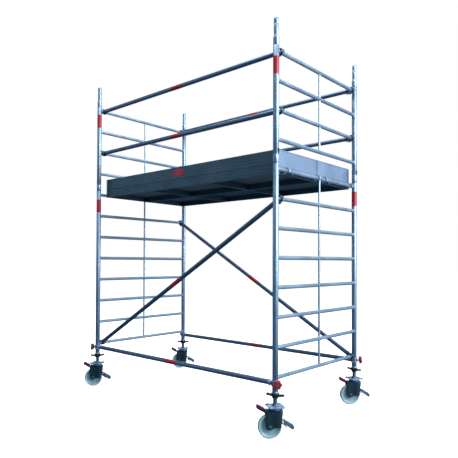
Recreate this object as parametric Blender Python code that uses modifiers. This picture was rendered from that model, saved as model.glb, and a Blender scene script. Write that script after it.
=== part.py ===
"""Mobile tower scaffold: two welded aluminium end frames, one lift high with a guard frame on top,
braced along both sides, carrying two hook-on platforms and standing on four adjustable braked castors.

Metres, +Z up. X runs along the platforms, Y across the tower, and the floor is Z = 0. The origin is on
the floor, midway between the four posts.
"""

import math

import bmesh
import bpy
from mathutils import Matrix, Vector

# ---- driving dimensions -------------------------------------------------------------------------
GAP = 0.0003                    # left between pieces that touch

HALF_LENGTH = 1.275             # post centres, along the tower
HALF_WIDTH = 0.70               # post centres, across the tower
RUNG_PITCH = 0.25
FIRST_RUNG_Z = 0.50
LOWER_RUNGS = 8
UPPER_RUNGS = 4

POST_RADIUS = 0.0254
POST_BORE = 0.0220
POST_SIDES = 14
POST_FOOT_Z = 0.3753
FRAME_JOINT_Z = 2.360
POST_TOP_Z = 3.360
SPIGOT_RADIUS = 0.0205
SPIGOT_LENGTH = 0.170
RUNG_RADIUS = 0.0170
RUNG_SIDES = 8
STAY_RADIUS = 0.0100

TUBE_RADIUS = 0.0215            # braces and guard rails
TUBE_SIDES = 10
BRACE_Y = 0.640                 # centre line of the rails and diagonals, inside the posts
BASE_BRACE_Z = 0.455
DIAGONAL_TOP_RUNG = 7
GUARD_RUNGS = {"mid": 10, "top": 12}
CLAW_INNER = 0.0190
CLAW_OUTER = 0.0310
CLAW_WIDTH = 0.045

DECK_EDGES_Y = {"front": -0.615, "back": 0.020}     # each platform's edge towards the front
PLATFORM_WIDTH = 0.625
DECK_HALF_LENGTH = 1.240
BEAM_WIDTH = 0.025
BEAM_BOTTOM_Z = 2.222
BEAM_TOP_Z = 2.279
SIDE_BEAM_TOP_Z = 2.311
BOARD_THICKNESS = 0.012
TOE_TOP_Z = 2.434
TOE_THICKNESS = 0.022
CROSS_BEAMS_X = (-0.42, 0.42)
HOOK_OFFSETS = (0.090, 0.595)   # from the platform's front edge
HOOK_WIDTH = 0.036

HATCH_X = (0.48, 1.12)
HATCH_Y = (0.120, 0.575)        # free edge and hinge line
HATCH_HINGE_Z = 2.2980

CASTOR_HEADING = math.radians(43.5)     # the castors all trail the opposite way
WHEEL_RADIUS = 0.100
WHEEL_HALF_WIDTH = 0.024
TRAIL = 0.046
AXLE_RADIUS = 0.0065
CHEEK_INNER = 0.0305
CHEEK_THICKNESS = 0.005
CROWN_Z = (0.230, 0.238)
RACE_SPLIT_Z = 0.2490
TOP_PLATE_Z = (0.262, 0.270)
TOP_PLATE_SIDE = 0.140
KINGPIN_RADIUS = 0.008
PEDAL_PIVOT = (-0.020, 0.2095)
PEDAL_HALF_WIDTH = 0.018
PAD_HALF_WIDTH = 0.020
PEDAL_THICKNESS = 0.005

SPINDLE_RADIUS = 0.0190
SPINDLE_TOP_Z = 0.800
NUT_Z = (0.335, 0.375)
NUT_RADIUS = 0.034
WING_REACH = 0.080

KNOB_OFFSET = 0.062             # star knob, out from the post's centre
KNOB_TURN = math.radians(38)    # its screw points out past the tower's corner, this far from the brace's line
RING_INNER = 0.0268
RING_OUTER = 0.0340
RING_HEIGHT = 0.046
RING_SIDES = 12

CLIP_Z = 2.410
CLIP_RADIUS = 0.0040

# corner: side along X, side along Y, turn of the castor's top plate, turn of the adjuster nut
CORNERS = {
    "front_right": (1, -1, math.radians(54), math.radians(18)),
    "front_left": (-1, -1, math.radians(35), math.radians(62)),
    "back_right": (1, 1, math.radians(65), math.radians(-5)),
    "back_left": (-1, 1, math.radians(50), math.radians(40)),
}

# name: base colour, metallic, roughness
FINISHES = {
    "aluminium": ((0.56, 0.63, 0.70), 1.0, 0.35),
    "dark_aluminium": ((0.18, 0.24, 0.29), 1.0, 0.45),
    "galvanised": ((0.42, 0.50, 0.58), 1.0, 0.50),
    "fork_steel": ((0.09, 0.15, 0.19), 0.8, 0.45),
    "dark_steel": ((0.06, 0.065, 0.06), 0.7, 0.50),
    "red_plastic": ((0.45, 0.02, 0.06), 0.0, 0.40),
    "wheel_nylon": ((0.60, 0.72, 0.76), 0.0, 0.45),
    "deck_board": ((0.10, 0.085, 0.07), 0.0, 0.70),
}


# ---- scene and materials ------------------------------------------------------------------------
def clear_scene():
    for obj in list(bpy.data.objects):
        bpy.data.objects.remove(obj, do_unlink=True)


def new_collection(name):
    collection = bpy.data.collections.new(name)
    bpy.context.scene.collection.children.link(collection)
    return collection


def make_material(name):
    colour, metallic, roughness = FINISHES[name]
    material = bpy.data.materials.new(name)
    material.use_nodes = True
    shader = material.node_tree.nodes["Principled BSDF"]
    shader.inputs["Base Color"].default_value = (*colour, 1.0)
    shader.inputs["Metallic"].default_value = metallic
    shader.inputs["Roughness"].default_value = roughness
    return material


# ---- shapes: each returns a loose mesh ----------------------------------------------------------
def rod(start, end, radius, sides, end_radius=None, twist=0.0):
    """A cylinder or cone between two points."""
    start, end = Vector(start), Vector(end)
    shape = bmesh.new()
    bmesh.ops.create_cone(
        shape,
        cap_ends=True,
        segments=sides,
        radius1=radius,
        radius2=radius if end_radius is None else end_radius,
        depth=(end - start).length,
    )
    turn = (end - start).to_track_quat("Z", "Y").to_matrix().to_4x4()
    place = Matrix.Translation((start + end) / 2) @ turn @ Matrix.Rotation(twist, 4, "Z")
    shape.transform(place)
    mesh = bpy.data.meshes.new("rod")
    shape.to_mesh(mesh)
    shape.free()
    return mesh


def block(low, high):
    """A box between two corners."""
    low, high = Vector(low), Vector(high)
    shape = bmesh.new()
    bmesh.ops.create_cube(shape, size=1.0)
    shape.transform(Matrix.Translation((low + high) / 2) @ Matrix.Diagonal((*(high - low), 1.0)))
    mesh = bpy.data.meshes.new("block")
    shape.to_mesh(mesh)
    shape.free()
    return mesh


def evaluated_mesh(obj):
    """The object's shape with its modifiers, as a welded mesh; the object is removed."""
    bpy.context.scene.collection.objects.link(obj)
    bpy.context.view_layer.update()
    depsgraph = bpy.context.evaluated_depsgraph_get()
    mesh = bpy.data.meshes.new_from_object(obj.evaluated_get(depsgraph))
    bpy.data.objects.remove(obj, do_unlink=True)
    shape = bmesh.new()
    shape.from_mesh(mesh)
    bmesh.ops.remove_doubles(shape, verts=shape.verts, dist=1e-6)
    shape.to_mesh(mesh)
    shape.free()
    return mesh


def plate(outline, thickness, place=None):
    """A flat plate on an outline in the XZ plane, centred on Y = 0."""
    curve = bpy.data.curves.new("outline", "CURVE")
    curve.dimensions = "2D"
    curve.fill_mode = "BOTH"
    curve.extrude = thickness / 2
    spline = curve.splines.new("POLY")
    spline.points.add(len(outline) - 1)
    for point, (x, z) in zip(spline.points, outline):
        point.co = (x, z, 0.0, 1.0)
    spline.use_cyclic_u = True
    mesh = evaluated_mesh(bpy.data.objects.new("outline", curve))
    mesh.transform(Matrix.Rotation(math.radians(90), 4, "X"))
    if place is not None:
        mesh.transform(place)
    return mesh


def turned(profile, steps, axis_turn):
    """A ring turned from a closed (radius, height) profile that runs down its outer side."""
    mesh = bpy.data.meshes.new("profile")
    count = len(profile)
    points = [(radius, 0.0, height) for radius, height in profile]
    mesh.from_pydata(points, [(i, (i + 1) % count) for i in range(count)], [])
    obj = bpy.data.objects.new("profile", mesh)
    screw = obj.modifiers.new("turn", "SCREW")
    screw.steps = steps
    screw.render_steps = steps
    screw.use_merge_vertices = True
    screw.merge_threshold = 1e-5
    result = evaluated_mesh(obj)
    result.transform(Matrix.Rotation(math.pi / steps, 4, "Z"))
    result.transform(axis_turn)
    return result


def arc(centre, radius, start, end, steps):
    """Points on an arc, angles in degrees from +X towards +Z."""
    points = []
    for i in range(steps + 1):
        angle = math.radians(start + (end - start) * i / steps)
        points.append((centre[0] + radius * math.cos(angle), centre[1] + radius * math.sin(angle)))
    return points


def boolean(base, others, operation):
    """Unites the base mesh with others, or cuts them out of it, one after the other."""
    obj = bpy.data.objects.new("base", base)
    tools = []
    for mesh in others:
        tool = bpy.data.objects.new("tool", mesh)
        tool.hide_render = True
        tool.display_type = "WIRE"
        CUTTERS.objects.link(tool)
        tools.append(tool)
        step = obj.modifiers.new(operation, "BOOLEAN")
        step.operation = operation
        step.solver = "EXACT"
        step.object = tool
    result = evaluated_mesh(obj)
    for tool in tools:
        bpy.data.objects.remove(tool, do_unlink=True)
    return result


def unite(base, *others):
    return boolean(base, others, "UNION")


def cut(base, *others):
    return boolean(base, others, "DIFFERENCE")


def node(name, mesh, finish, origin=(0.0, 0.0, 0.0), parent=None):
    """One named piece of the tower, with its origin where it turns or slides."""
    mesh.transform(Matrix.Translation(-Vector(origin)))
    mesh.name = name
    mesh.materials.clear()
    mesh.materials.append(MATERIALS[finish])
    mesh.shade_smooth()
    mesh.set_sharp_from_angle(angle=math.radians(35))
    obj = bpy.data.objects.new(name, mesh)
    obj.location = origin
    obj.parent = parent
    TOWER.objects.link(obj)
    return obj


# ---- end frames ---------------------------------------------------------------------------------
def rung_z(number):
    return FIRST_RUNG_Z + RUNG_PITCH * (number - 1)


def frame_mesh(side, foot_z, top_z, rungs, bore_top_z):
    """Two posts, their rungs, the centre stay and a spigot on each post."""
    x = side * HALF_LENGTH
    posts = [rod((x, y, foot_z), (x, y, top_z), POST_RADIUS, POST_SIDES) for y in (-HALF_WIDTH, HALF_WIDTH)]
    pieces = posts[1:]
    for y in (-HALF_WIDTH, HALF_WIDTH):
        shoulder = top_z + SPIGOT_LENGTH - 0.012
        pieces.append(rod((x, y, top_z - 0.01), (x, y, shoulder), SPIGOT_RADIUS, POST_SIDES))
        pieces.append(rod((x, y, shoulder), (x, y, top_z + SPIGOT_LENGTH), SPIGOT_RADIUS, POST_SIDES, 0.015))
    for number in rungs:
        z = rung_z(number)
        pieces.append(rod((x, -HALF_WIDTH, z), (x, HALF_WIDTH, z), RUNG_RADIUS, RUNG_SIDES, twist=math.pi / RUNG_SIDES))
    pieces.append(rod((x, 0, rung_z(rungs[0])), (x, 0, rung_z(rungs[-1])), STAY_RADIUS, 6))
    bores = [
        rod((x, y, foot_z - 0.01), (x, y, bore_top_z), POST_BORE, POST_SIDES)
        for y in (-HALF_WIDTH, HALF_WIDTH)
    ]
    return cut(unite(posts[0], *pieces), *bores)


def clip_hole(side, y, radius):
    x = side * HALF_LENGTH
    return rod((x - side * 0.030, y, CLIP_Z), (x + side * 0.035, y, CLIP_Z), radius, 8)


def build_frames():
    for side, end in ((1, "right"), (-1, "left")):
        holes = [clip_hole(side, y, CLIP_RADIUS + 0.0008) for y in (-HALF_WIDTH, HALF_WIDTH)]
        lower = frame_mesh(side, POST_FOOT_Z, FRAME_JOINT_Z, range(1, LOWER_RUNGS + 1), FRAME_JOINT_Z - 0.05)
        node(f"lower_frame_{end}", cut(lower, *holes), "aluminium")
        rungs = range(LOWER_RUNGS + 1, LOWER_RUNGS + UPPER_RUNGS + 1)
        upper = frame_mesh(side, FRAME_JOINT_Z + GAP, POST_TOP_Z, rungs, POST_TOP_Z - 0.05)
        holes = [clip_hole(side, y, CLIP_RADIUS + 0.0008) for y in (-HALF_WIDTH, HALF_WIDTH)]
        node(f"upper_frame_{end}", cut(upper, *holes), "aluminium")


def build_interlock_clips():
    """A pin through the post and the spigot inside it, pulled outwards to free the frame."""
    for corner, (side, across, _, _) in CORNERS.items():
        x, y = side * HALF_LENGTH, across * HALF_WIDTH
        face = x + side * (POST_RADIUS + 0.0015)
        pin = rod((x - side * 0.027, y, CLIP_Z), (face + side * 0.002, y, CLIP_Z), CLIP_RADIUS, 8)
        head = rod((face, y, CLIP_Z), (face + side * 0.006, y, CLIP_Z), 0.010, 10)
        ear = block(
            (min(face, face + side * 0.004), y - 0.004, CLIP_Z - 0.030),
            (max(face, face + side * 0.004), y + 0.004, CLIP_Z),
        )
        node(f"interlock_clip_{corner}", unite(pin, head, ear), "dark_steel", (x, y, CLIP_Z))


# ---- braces and guard rails ---------------------------------------------------------------------
def claw(x, y, z, outwards, tilt):
    """A hook cast to close over a rung, open outwards and down, with a neck for its tube."""
    outline = arc((0, 0), CLAW_OUTER, -8, 268, 7) + arc((0, 0), CLAW_INNER, 268, -8, 7)
    place = Matrix.Translation((x, y, z)) @ Matrix.Rotation(tilt, 4, "Y") @ Matrix.Diagonal((outwards, 1, 1, 1))
    mesh = plate(outline, CLAW_WIDTH, place)
    if outwards < 0:
        mesh.flip_normals()
    return mesh


def rail(name, y, left_z, right_z, finish):
    """A tube from a left rung to a right rung with a claw at each end."""
    left, right = Vector((-HALF_LENGTH, y, left_z)), Vector((HALF_LENGTH, y, right_z))
    along = (right - left).normalized()
    tilt = -math.atan2(right_z - left_z, 2 * HALF_LENGTH)
    neck = 0.5 * (CLAW_INNER + CLAW_OUTER)
    tube = rod(left + along * neck, right - along * neck, TUBE_RADIUS, TUBE_SIDES)
    node(name, unite(tube, claw(*left, -1, tilt), claw(*right, 1, tilt)), finish)


def build_rails():
    for label, y in (("front", -BRACE_Y), ("back", BRACE_Y)):
        for height, rung in GUARD_RUNGS.items():
            rail(f"{height}_guard_rail_{label}", y, rung_z(rung), rung_z(rung), "dark_aluminium")
    top = rung_z(DIAGONAL_TOP_RUNG)
    rail("diagonal_brace_front", -BRACE_Y, rung_z(1), top, "dark_aluminium")
    rail("diagonal_brace_back", BRACE_Y, top, rung_z(1), "dark_aluminium")


def knob_direction(side, y):
    """The way a star knob's screw points from its post."""
    return Vector((side * math.cos(KNOB_TURN), math.copysign(math.sin(KNOB_TURN), y), 0))


def build_base_braces():
    """Tubes that grip the posts low down with a ring at each end."""
    for label, y in (("front", -HALF_WIDTH), ("back", HALF_WIDTH)):
        z = BASE_BRACE_Z
        tube = rod((-HALF_LENGTH, y, z), (HALF_LENGTH, y, z), TUBE_RADIUS, TUBE_SIDES)
        pieces, bores = [], []
        for side in (-1, 1):
            x = side * HALF_LENGTH
            centre, out = Vector((x, y, z)), knob_direction(side, y)
            low, high = z - RING_HEIGHT / 2, z + RING_HEIGHT / 2
            pieces.append(rod((x, y, low), (x, y, high), RING_OUTER, RING_SIDES))
            pieces.append(rod(centre + out * 0.020, centre + out * 0.041, 0.013, 8))
            bores.append(rod((x, y, low - 0.01), (x, y, high + 0.01), RING_INNER, RING_SIDES))
            bores.append(rod(centre + out * 0.020, centre + out * 0.050, 0.0070, 8))
        node(f"base_brace_{label}", cut(unite(tube, *pieces), *bores), "dark_aluminium")


def build_star_knobs():
    """The hand screws that clamp the base braces to the posts."""
    lobes = 6
    outline = []
    for i in range(lobes * 4):
        angle = 2 * math.pi * i / (lobes * 4)
        radius = 0.037 + 0.004 * math.cos(lobes * angle)
        outline.append((radius * math.cos(angle), radius * math.sin(angle)))
    for corner, (side, across, _, _) in CORNERS.items():
        post_axis = Vector((side * HALF_LENGTH, across * HALF_WIDTH, BASE_BRACE_Z))
        out = knob_direction(side, across)
        centre = post_axis + out * KNOB_OFFSET
        turn = math.atan2(out.y, out.x) - math.radians(90)
        head = plate(outline, 0.028, Matrix.Translation(centre) @ Matrix.Rotation(turn, 4, "Z"))
        screw = rod(post_axis + out * 0.0275, centre, 0.0060, 8)
        node(f"star_knob_{corner}", unite(head, screw), "red_plastic", centre)


# ---- platforms ----------------------------------------------------------------------------------
def hook(side, y):
    """A hook plate from the end beam up and over the rung."""
    x, z = side * HALF_LENGTH, rung_z(LOWER_RUNGS)
    inner, outer = RUNG_RADIUS + 0.0018, RUNG_RADIUS + 0.0110
    outline = arc((0, 0), outer, -20, 150, 7)
    outline += [(-0.045, 0.012), (-0.045, -0.020), (-inner - 0.001, -0.020)]
    outline += arc((0, 0), inner, 180, -20, 7)
    mesh = plate(outline, HOOK_WIDTH, Matrix.Translation((x, y, z)) @ Matrix.Diagonal((side, 1, 1, 1)))
    if side < 0:
        mesh.flip_normals()
    return mesh


def beam(x0, x1, y0, y1, top=BEAM_TOP_Z):
    return block((x0, y0, BEAM_BOTTOM_Z), (x1, y1, top))


def platform_frame(edge, outer_is_low):
    """Side beams, end beams, cross beams and the four hooks of one platform."""
    far = edge + PLATFORM_WIDTH
    length = DECK_HALF_LENGTH
    tops = (SIDE_BEAM_TOP_Z, BEAM_TOP_Z) if outer_is_low else (BEAM_TOP_Z, SIDE_BEAM_TOP_Z)
    base = beam(-length, length, edge, edge + BEAM_WIDTH, tops[0])
    pieces = [beam(-length, length, far - BEAM_WIDTH, far, tops[1])]
    across = (edge + BEAM_WIDTH / 2, far - BEAM_WIDTH / 2)
    for side in (-1, 1):
        pieces.append(beam(*sorted((side * length, side * (length - BEAM_WIDTH))), *across))
    for x in CROSS_BEAMS_X:
        pieces.append(beam(x - BEAM_WIDTH / 2, x + BEAM_WIDTH / 2, *across))
    for side in (-1, 1):
        for offset in HOOK_OFFSETS:
            pieces.append(hook(side, edge + offset))
    return unite(base, *pieces)


def build_platforms():
    front, back = DECK_EDGES_Y["front"], DECK_EDGES_Y["back"]
    node("platform_frame_front", platform_frame(front, True), "dark_aluminium")
    node("platform_frame_back", platform_frame(back, False), "dark_aluminium")
    low, high = BEAM_TOP_Z + GAP, BEAM_TOP_Z + GAP + BOARD_THICKNESS
    length = DECK_HALF_LENGTH - TOE_THICKNESS - GAP
    lip = BEAM_WIDTH + GAP
    board = block((-length, front + lip, low), (length, front + PLATFORM_WIDTH, high))
    node("deck_board_front", board, "deck_board")
    board = block((-length, back, low), (length, back + PLATFORM_WIDTH - lip, high))
    clearance = 0.004
    opening = block(
        (HATCH_X[0] - clearance, HATCH_Y[0] - clearance, low - 0.01),
        (HATCH_X[1] + clearance, HATCH_Y[1] + clearance, high + 0.01),
    )
    node("deck_board_back", cut(board, opening), "deck_board")


def build_hatch():
    """A lift-up hatch in the back platform, hinged along its outer side, with a finger-ring catch."""
    low, high = BEAM_TOP_Z + GAP, BEAM_TOP_Z + GAP + BOARD_THICKNESS
    x0, x1 = HATCH_X
    hinge_y, hinge_z = HATCH_Y[1], HATCH_HINGE_Z
    panel = block((x0, HATCH_Y[0], low), (x1, hinge_y - 0.006, high))
    knuckles = [
        rod((x - 0.03, hinge_y, hinge_z), (x + 0.03, hinge_y, hinge_z), 0.0060, 10)
        for x in (x0 + 0.10, x1 - 0.10)
    ]
    leaves = [
        block((x - 0.03, hinge_y - 0.045, high - 0.002), (x + 0.03, hinge_y, high + 0.003))
        for x in (x0 + 0.10, x1 - 0.10)
    ]
    catch_x = (x0 + x1) / 2
    keyhole = rod((catch_x, HATCH_Y[0] + 0.05, low - 0.01), (catch_x, HATCH_Y[0] + 0.05, high + 0.01), 0.0090, 12)
    bore = rod((x0, hinge_y, hinge_z), (x1, hinge_y, hinge_z), 0.0035, 10)
    node("hatch", cut(unite(panel, *leaves, *knuckles), keyhole, bore), "deck_board", (catch_x, hinge_y, hinge_z))

    pin = rod((x0 + 0.035, hinge_y, hinge_z), (x1 - 0.035, hinge_y, hinge_z), 0.0030, 8)
    stands = []
    for x in (x0 + 0.05, x1 - 0.05):
        stands.append(block((x - 0.012, hinge_y - 0.004, high + GAP), (x + 0.012, hinge_y + 0.020, high + 0.004)))
        stands.append(block((x - 0.012, hinge_y - 0.004, high + 0.001), (x + 0.012, hinge_y + 0.004, hinge_z + 0.005)))
    strap = block((x0 + 0.04, hinge_y + 0.0105, high + GAP), (x1 - 0.04, hinge_y + 0.020, high + 0.003))
    node("hatch_hinge_pin", unite(strap, *stands, pin), "galvanised")

    top = high + 0.0004
    stem = rod((catch_x, HATCH_Y[0] + 0.05, low - 0.012), (catch_x, HATCH_Y[0] + 0.05, top + 0.002), 0.0080, 12)
    cap = rod((catch_x, HATCH_Y[0] + 0.05, top), (catch_x, HATCH_Y[0] + 0.05, top + 0.004), 0.022, 12)
    tongue = block(
        (catch_x - 0.068, HATCH_Y[0] + 0.040, low - 0.012),
        (catch_x + 0.002, HATCH_Y[0] + 0.060, low - 0.006),
    )
    node("hatch_catch", unite(stem, cap, tongue), "galvanised", (catch_x, HATCH_Y[0] + 0.05, top))


def build_windlocks():
    """A flat pawl under each platform that swings beneath the rung to stop the platform lifting."""
    pivot_x = DECK_HALF_LENGTH - 0.014
    top = BEAM_BOTTOM_Z - GAP
    for label, edge in DECK_EDGES_Y.items():
        y = edge + HOOK_OFFSETS[0] + 0.05
        outline = arc((0, 0), 0.014, 90, 270, 4) + arc((0.062, 0), 0.010, -90, 90, 4)
        place = Matrix.Translation((pivot_x, y, top - 0.0025)) @ Matrix.Rotation(math.radians(90), 4, "X")
        pawl = plate(outline, 0.005, place)
        boss = rod((pivot_x, y, top - 0.011), (pivot_x, y, top - 0.003), 0.009, 8)
        node(f"windlock_{label}", unite(pawl, boss), "galvanised", (pivot_x, y, top))


def build_toe_boards():
    front = DECK_EDGES_Y["front"]
    middle = DECK_EDGES_Y["back"] - 0.005
    back = DECK_EDGES_Y["back"] + PLATFORM_WIDTH
    length = DECK_HALF_LENGTH
    low = SIDE_BEAM_TOP_Z + GAP
    node(
        "toe_board_front",
        block((-length, front, low), (length, front + TOE_THICKNESS, TOE_TOP_Z)),
        "dark_aluminium",
    )
    node(
        "toe_board_back",
        block((-length, back - TOE_THICKNESS, low), (length, back, TOE_TOP_Z)),
        "dark_aluminium",
    )
    spans = {
        "front": (front + BEAM_WIDTH + GAP, middle - 0.005),
        "back": (middle + 0.005, back - BEAM_WIDTH - GAP),
    }
    for side, end in ((1, "right"), (-1, "left")):
        xs = sorted((side * length, side * (length - TOE_THICKNESS)))
        for label, (y0, y1) in spans.items():
            board = block((xs[0], y0, BEAM_TOP_Z + GAP), (xs[1], y1, TOE_TOP_Z))
            node(f"toe_board_{end}_{label}", board, "aluminium")


# ---- castors and adjustable legs ----------------------------------------------------------------
def wheel_mesh():
    """A solid nylon wheel with dished sides, its axis along Y and a flat of the rim downwards."""
    steps = 20
    rim = WHEEL_RADIUS / math.cos(math.pi / steps)
    half = [
        (0.0078, 0.0285),
        (0.0260, 0.0285),
        (0.0320, 0.0110),
        (0.0740, 0.0100),
        (0.0840, WHEEL_HALF_WIDTH - 0.001),
        (0.0930, WHEEL_HALF_WIDTH),
        (rim, WHEEL_HALF_WIDTH - 0.010),
    ]
    profile = half + [(radius, -height) for radius, height in reversed(half)]
    turn = Matrix.Rotation(math.radians(90), 4, "X")
    mesh = turned(profile, steps, turn)
    mesh.transform(Matrix.Rotation(math.radians(90) - math.pi / steps - math.pi / steps, 4, "Y"))
    return mesh


def fork_mesh():
    """Crown, two cheeks and the lower half of the swivel race, trailing along -X."""
    back, front = -0.084, 0.062
    outline = [(front, CROWN_Z[1] - 0.002), (back, CROWN_Z[1] - 0.002), (back, 0.120), (-0.076, 0.092)]
    outline += [(-0.060, 0.078), (-TRAIL, 0.075), (-0.030, 0.079), (-0.018, 0.090), (-0.016, 0.094), (0.048, 0.094)]
    offset = CHEEK_INNER + CHEEK_THICKNESS / 2
    cheeks = [plate(outline, CHEEK_THICKNESS, Matrix.Translation((0, y, 0))) for y in (-offset, offset)]
    width = CHEEK_INNER + CHEEK_THICKNESS
    crown = block((back, -width, CROWN_Z[0]), (front, width, CROWN_Z[1]))
    race = rod((0, 0, CROWN_Z[1] - 0.002), (0, 0, RACE_SPLIT_Z - 0.0005), 0.050, 16)
    holes = [
        rod((0, 0, 0.22), (0, 0, 0.26), KINGPIN_RADIUS + 0.0008, 12),
        rod((-TRAIL, -0.05, WHEEL_RADIUS), (-TRAIL, 0.05, WHEEL_RADIUS), AXLE_RADIUS + 0.0007, 12),
        rod((PEDAL_PIVOT[0], -0.05, PEDAL_PIVOT[1]), (PEDAL_PIVOT[0], 0.05, PEDAL_PIVOT[1]), 0.0047, 8),
    ]
    return cut(unite(crown, *cheeks, race), *holes)


def axle_mesh():
    """The wheel bolt with its head towards the front and its nut behind."""
    face = CHEEK_INNER + CHEEK_THICKNESS + GAP
    x, z = -TRAIL, WHEEL_RADIUS
    shank = rod((x, -face - 0.004, z), (x, face + 0.004, z), AXLE_RADIUS, 12)
    head = rod((x, -face - 0.008, z), (x, -face, z), 0.0110, 6)
    nut = rod((x, face, z), (x, face + 0.009, z), 0.0110, 6)
    return unite(shank, head, nut)


def pedal_mesh():
    """A see-saw brake lever through the fork: a thick pad at each end, a bow over the wheel and a spur in front."""
    px, pz = PEDAL_PIVOT
    centre_line = [(-0.148, 0.2480), (-0.093, 0.2185), (-0.066, pz), (0.040, pz), (0.055, 0.160), (0.130, 0.1120)]
    half = PEDAL_THICKNESS / 2
    upper, lower = [], []
    for i, (x, z) in enumerate(centre_line):
        before = centre_line[max(i - 1, 0)]
        after = centre_line[min(i + 1, len(centre_line) - 1)]
        along = Vector((after[0] - before[0], after[1] - before[1])).normalized()
        upper.append((x - along.y * half, z + along.x * half))
        lower.append((x + along.y * half, z - along.x * half))
    bow = plate(upper + lower[::-1], 2 * PEDAL_HALF_WIDTH)
    rear = [(-0.0895, 0.2250), (-0.0900, 0.2420), (-0.0960, 0.2490), (-0.1400, 0.2715), (-0.1480, 0.2745)]
    rear += [(-0.1545, 0.2715), (-0.1570, 0.2635), (-0.1555, 0.2540), (-0.1500, 0.2480), (-0.0930, 0.2175)]
    front = [(0.0690, 0.1330), (0.0700, 0.1500), (0.0750, 0.1530), (0.1420, 0.1150), (0.1520, 0.1070)]
    front += [(0.1570, 0.0970), (0.1555, 0.0860), (0.1480, 0.0790), (0.1400, 0.0790), (0.0740, 0.1260)]
    spur = [(0.0510, 0.1650), (0.0530, 0.1400), (0.0570, 0.1220), (0.0960, 0.0900), (0.1020, 0.0905)]
    spur += [(0.1015, 0.0955), (0.0640, 0.1270), (0.0610, 0.1400), (0.0590, 0.1620)]
    pads = [plate(outline, 2 * PAD_HALF_WIDTH) for outline in (rear, front)]
    trunnion = rod((px, -CHEEK_INNER - 0.004, pz), (px, CHEEK_INNER + 0.004, pz), 0.0040, 8)
    return unite(bow, *pads, plate(spur, 0.024), trunnion)


def leg_mesh(turn):
    """Threaded spindle, weld collar, bolted top plate, upper race and kingpin."""
    low, high = TOP_PLATE_Z
    top_plate = block((-TOP_PLATE_SIDE / 2, -TOP_PLATE_SIDE / 2, low), (TOP_PLATE_SIDE / 2, TOP_PLATE_SIDE / 2, high))
    bolt = TOP_PLATE_SIDE / 2 - 0.018
    bolts = [
        rod((sx * bolt, sy * bolt, high - 0.001), (sx * bolt, sy * bolt, high + 0.007), 0.0095, 6)
        for sx in (-1, 1)
        for sy in (-1, 1)
    ]
    collar = rod((0, 0, high - 0.001), (0, 0, high + 0.014), 0.027, 12, SPINDLE_RADIUS + 0.0004)
    spindle = rod((0, 0, high - 0.002), (0, 0, SPINDLE_TOP_Z), SPINDLE_RADIUS, 12)
    race = rod((0, 0, RACE_SPLIT_Z), (0, 0, low + 0.002), 0.053, 16)
    kingpin = rod((0, 0, 0.2260), (0, 0, RACE_SPLIT_Z + 0.002), KINGPIN_RADIUS, 12)
    mesh = unite(top_plate, *bolts, collar, spindle, race, kingpin)
    mesh.transform(Matrix.Rotation(turn, 4, "Z"))
    return mesh


def nut_mesh(turn):
    """The adjuster: a threaded collar under the post with two wings to turn it by."""
    low, high = NUT_Z
    collar = rod((0, 0, low), (0, 0, high), NUT_RADIUS - 0.006, 12, NUT_RADIUS)
    wings = [
        rod((s * 0.022, 0, 0.352), (s * WING_REACH, 0, 0.366), 0.0110, 8, 0.0080)
        for s in (-1, 1)
    ]
    bore = rod((0, 0, low - 0.01), (0, 0, high + 0.01), SPINDLE_RADIUS + 0.0015, 12)
    mesh = cut(unite(collar, *wings), bore)
    mesh.transform(Matrix.Rotation(turn, 4, "Z"))
    return mesh


def build_castors():
    for corner, (side, across, plate_turn, nut_turn) in CORNERS.items():
        x, y = side * HALF_LENGTH, across * HALF_WIDTH
        post = bpy.data.objects.new(f"post_axis_{corner}", None)
        post.location = (x, y, 0.0)
        swivel = bpy.data.objects.new(f"swivel_axis_{corner}", None)
        swivel.location = (x, y, 0.0)
        swivel.rotation_euler = (0.0, 0.0, CASTOR_HEADING)
        TOWER.objects.link(post)
        TOWER.objects.link(swivel)
        node(f"adjustable_leg_{corner}", leg_mesh(plate_turn), "galvanised", (0, 0, TOP_PLATE_Z[1]), post)
        node(f"adjuster_nut_{corner}", nut_mesh(nut_turn), "dark_steel", (0, 0, NUT_Z[1]), post)
        node(f"castor_fork_{corner}", fork_mesh(), "fork_steel", (0, 0, CROWN_Z[1]), swivel)
        wheel = node(f"castor_wheel_{corner}", wheel_mesh(), "wheel_nylon", parent=swivel)
        wheel.location = (-TRAIL, 0, WHEEL_RADIUS)
        node(f"wheel_axle_{corner}", axle_mesh(), "galvanised", (-TRAIL, 0, WHEEL_RADIUS), swivel)
        pivot = (PEDAL_PIVOT[0], 0, PEDAL_PIVOT[1])
        node(f"brake_pedal_{corner}", pedal_mesh(), "dark_steel", pivot, swivel)


clear_scene()
TOWER = new_collection("mobile_tower_scaffold")
CUTTERS = new_collection("cutters")
MATERIALS = {name: make_material(name) for name in FINISHES}
build_frames()
build_interlock_clips()
build_rails()
build_base_braces()
build_star_knobs()
build_platforms()
build_hatch()
build_windlocks()
build_toe_boards()
build_castors()
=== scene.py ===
import math

import bmesh
import bpy
import numpy as np
from mathutils import Matrix, Vector


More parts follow.
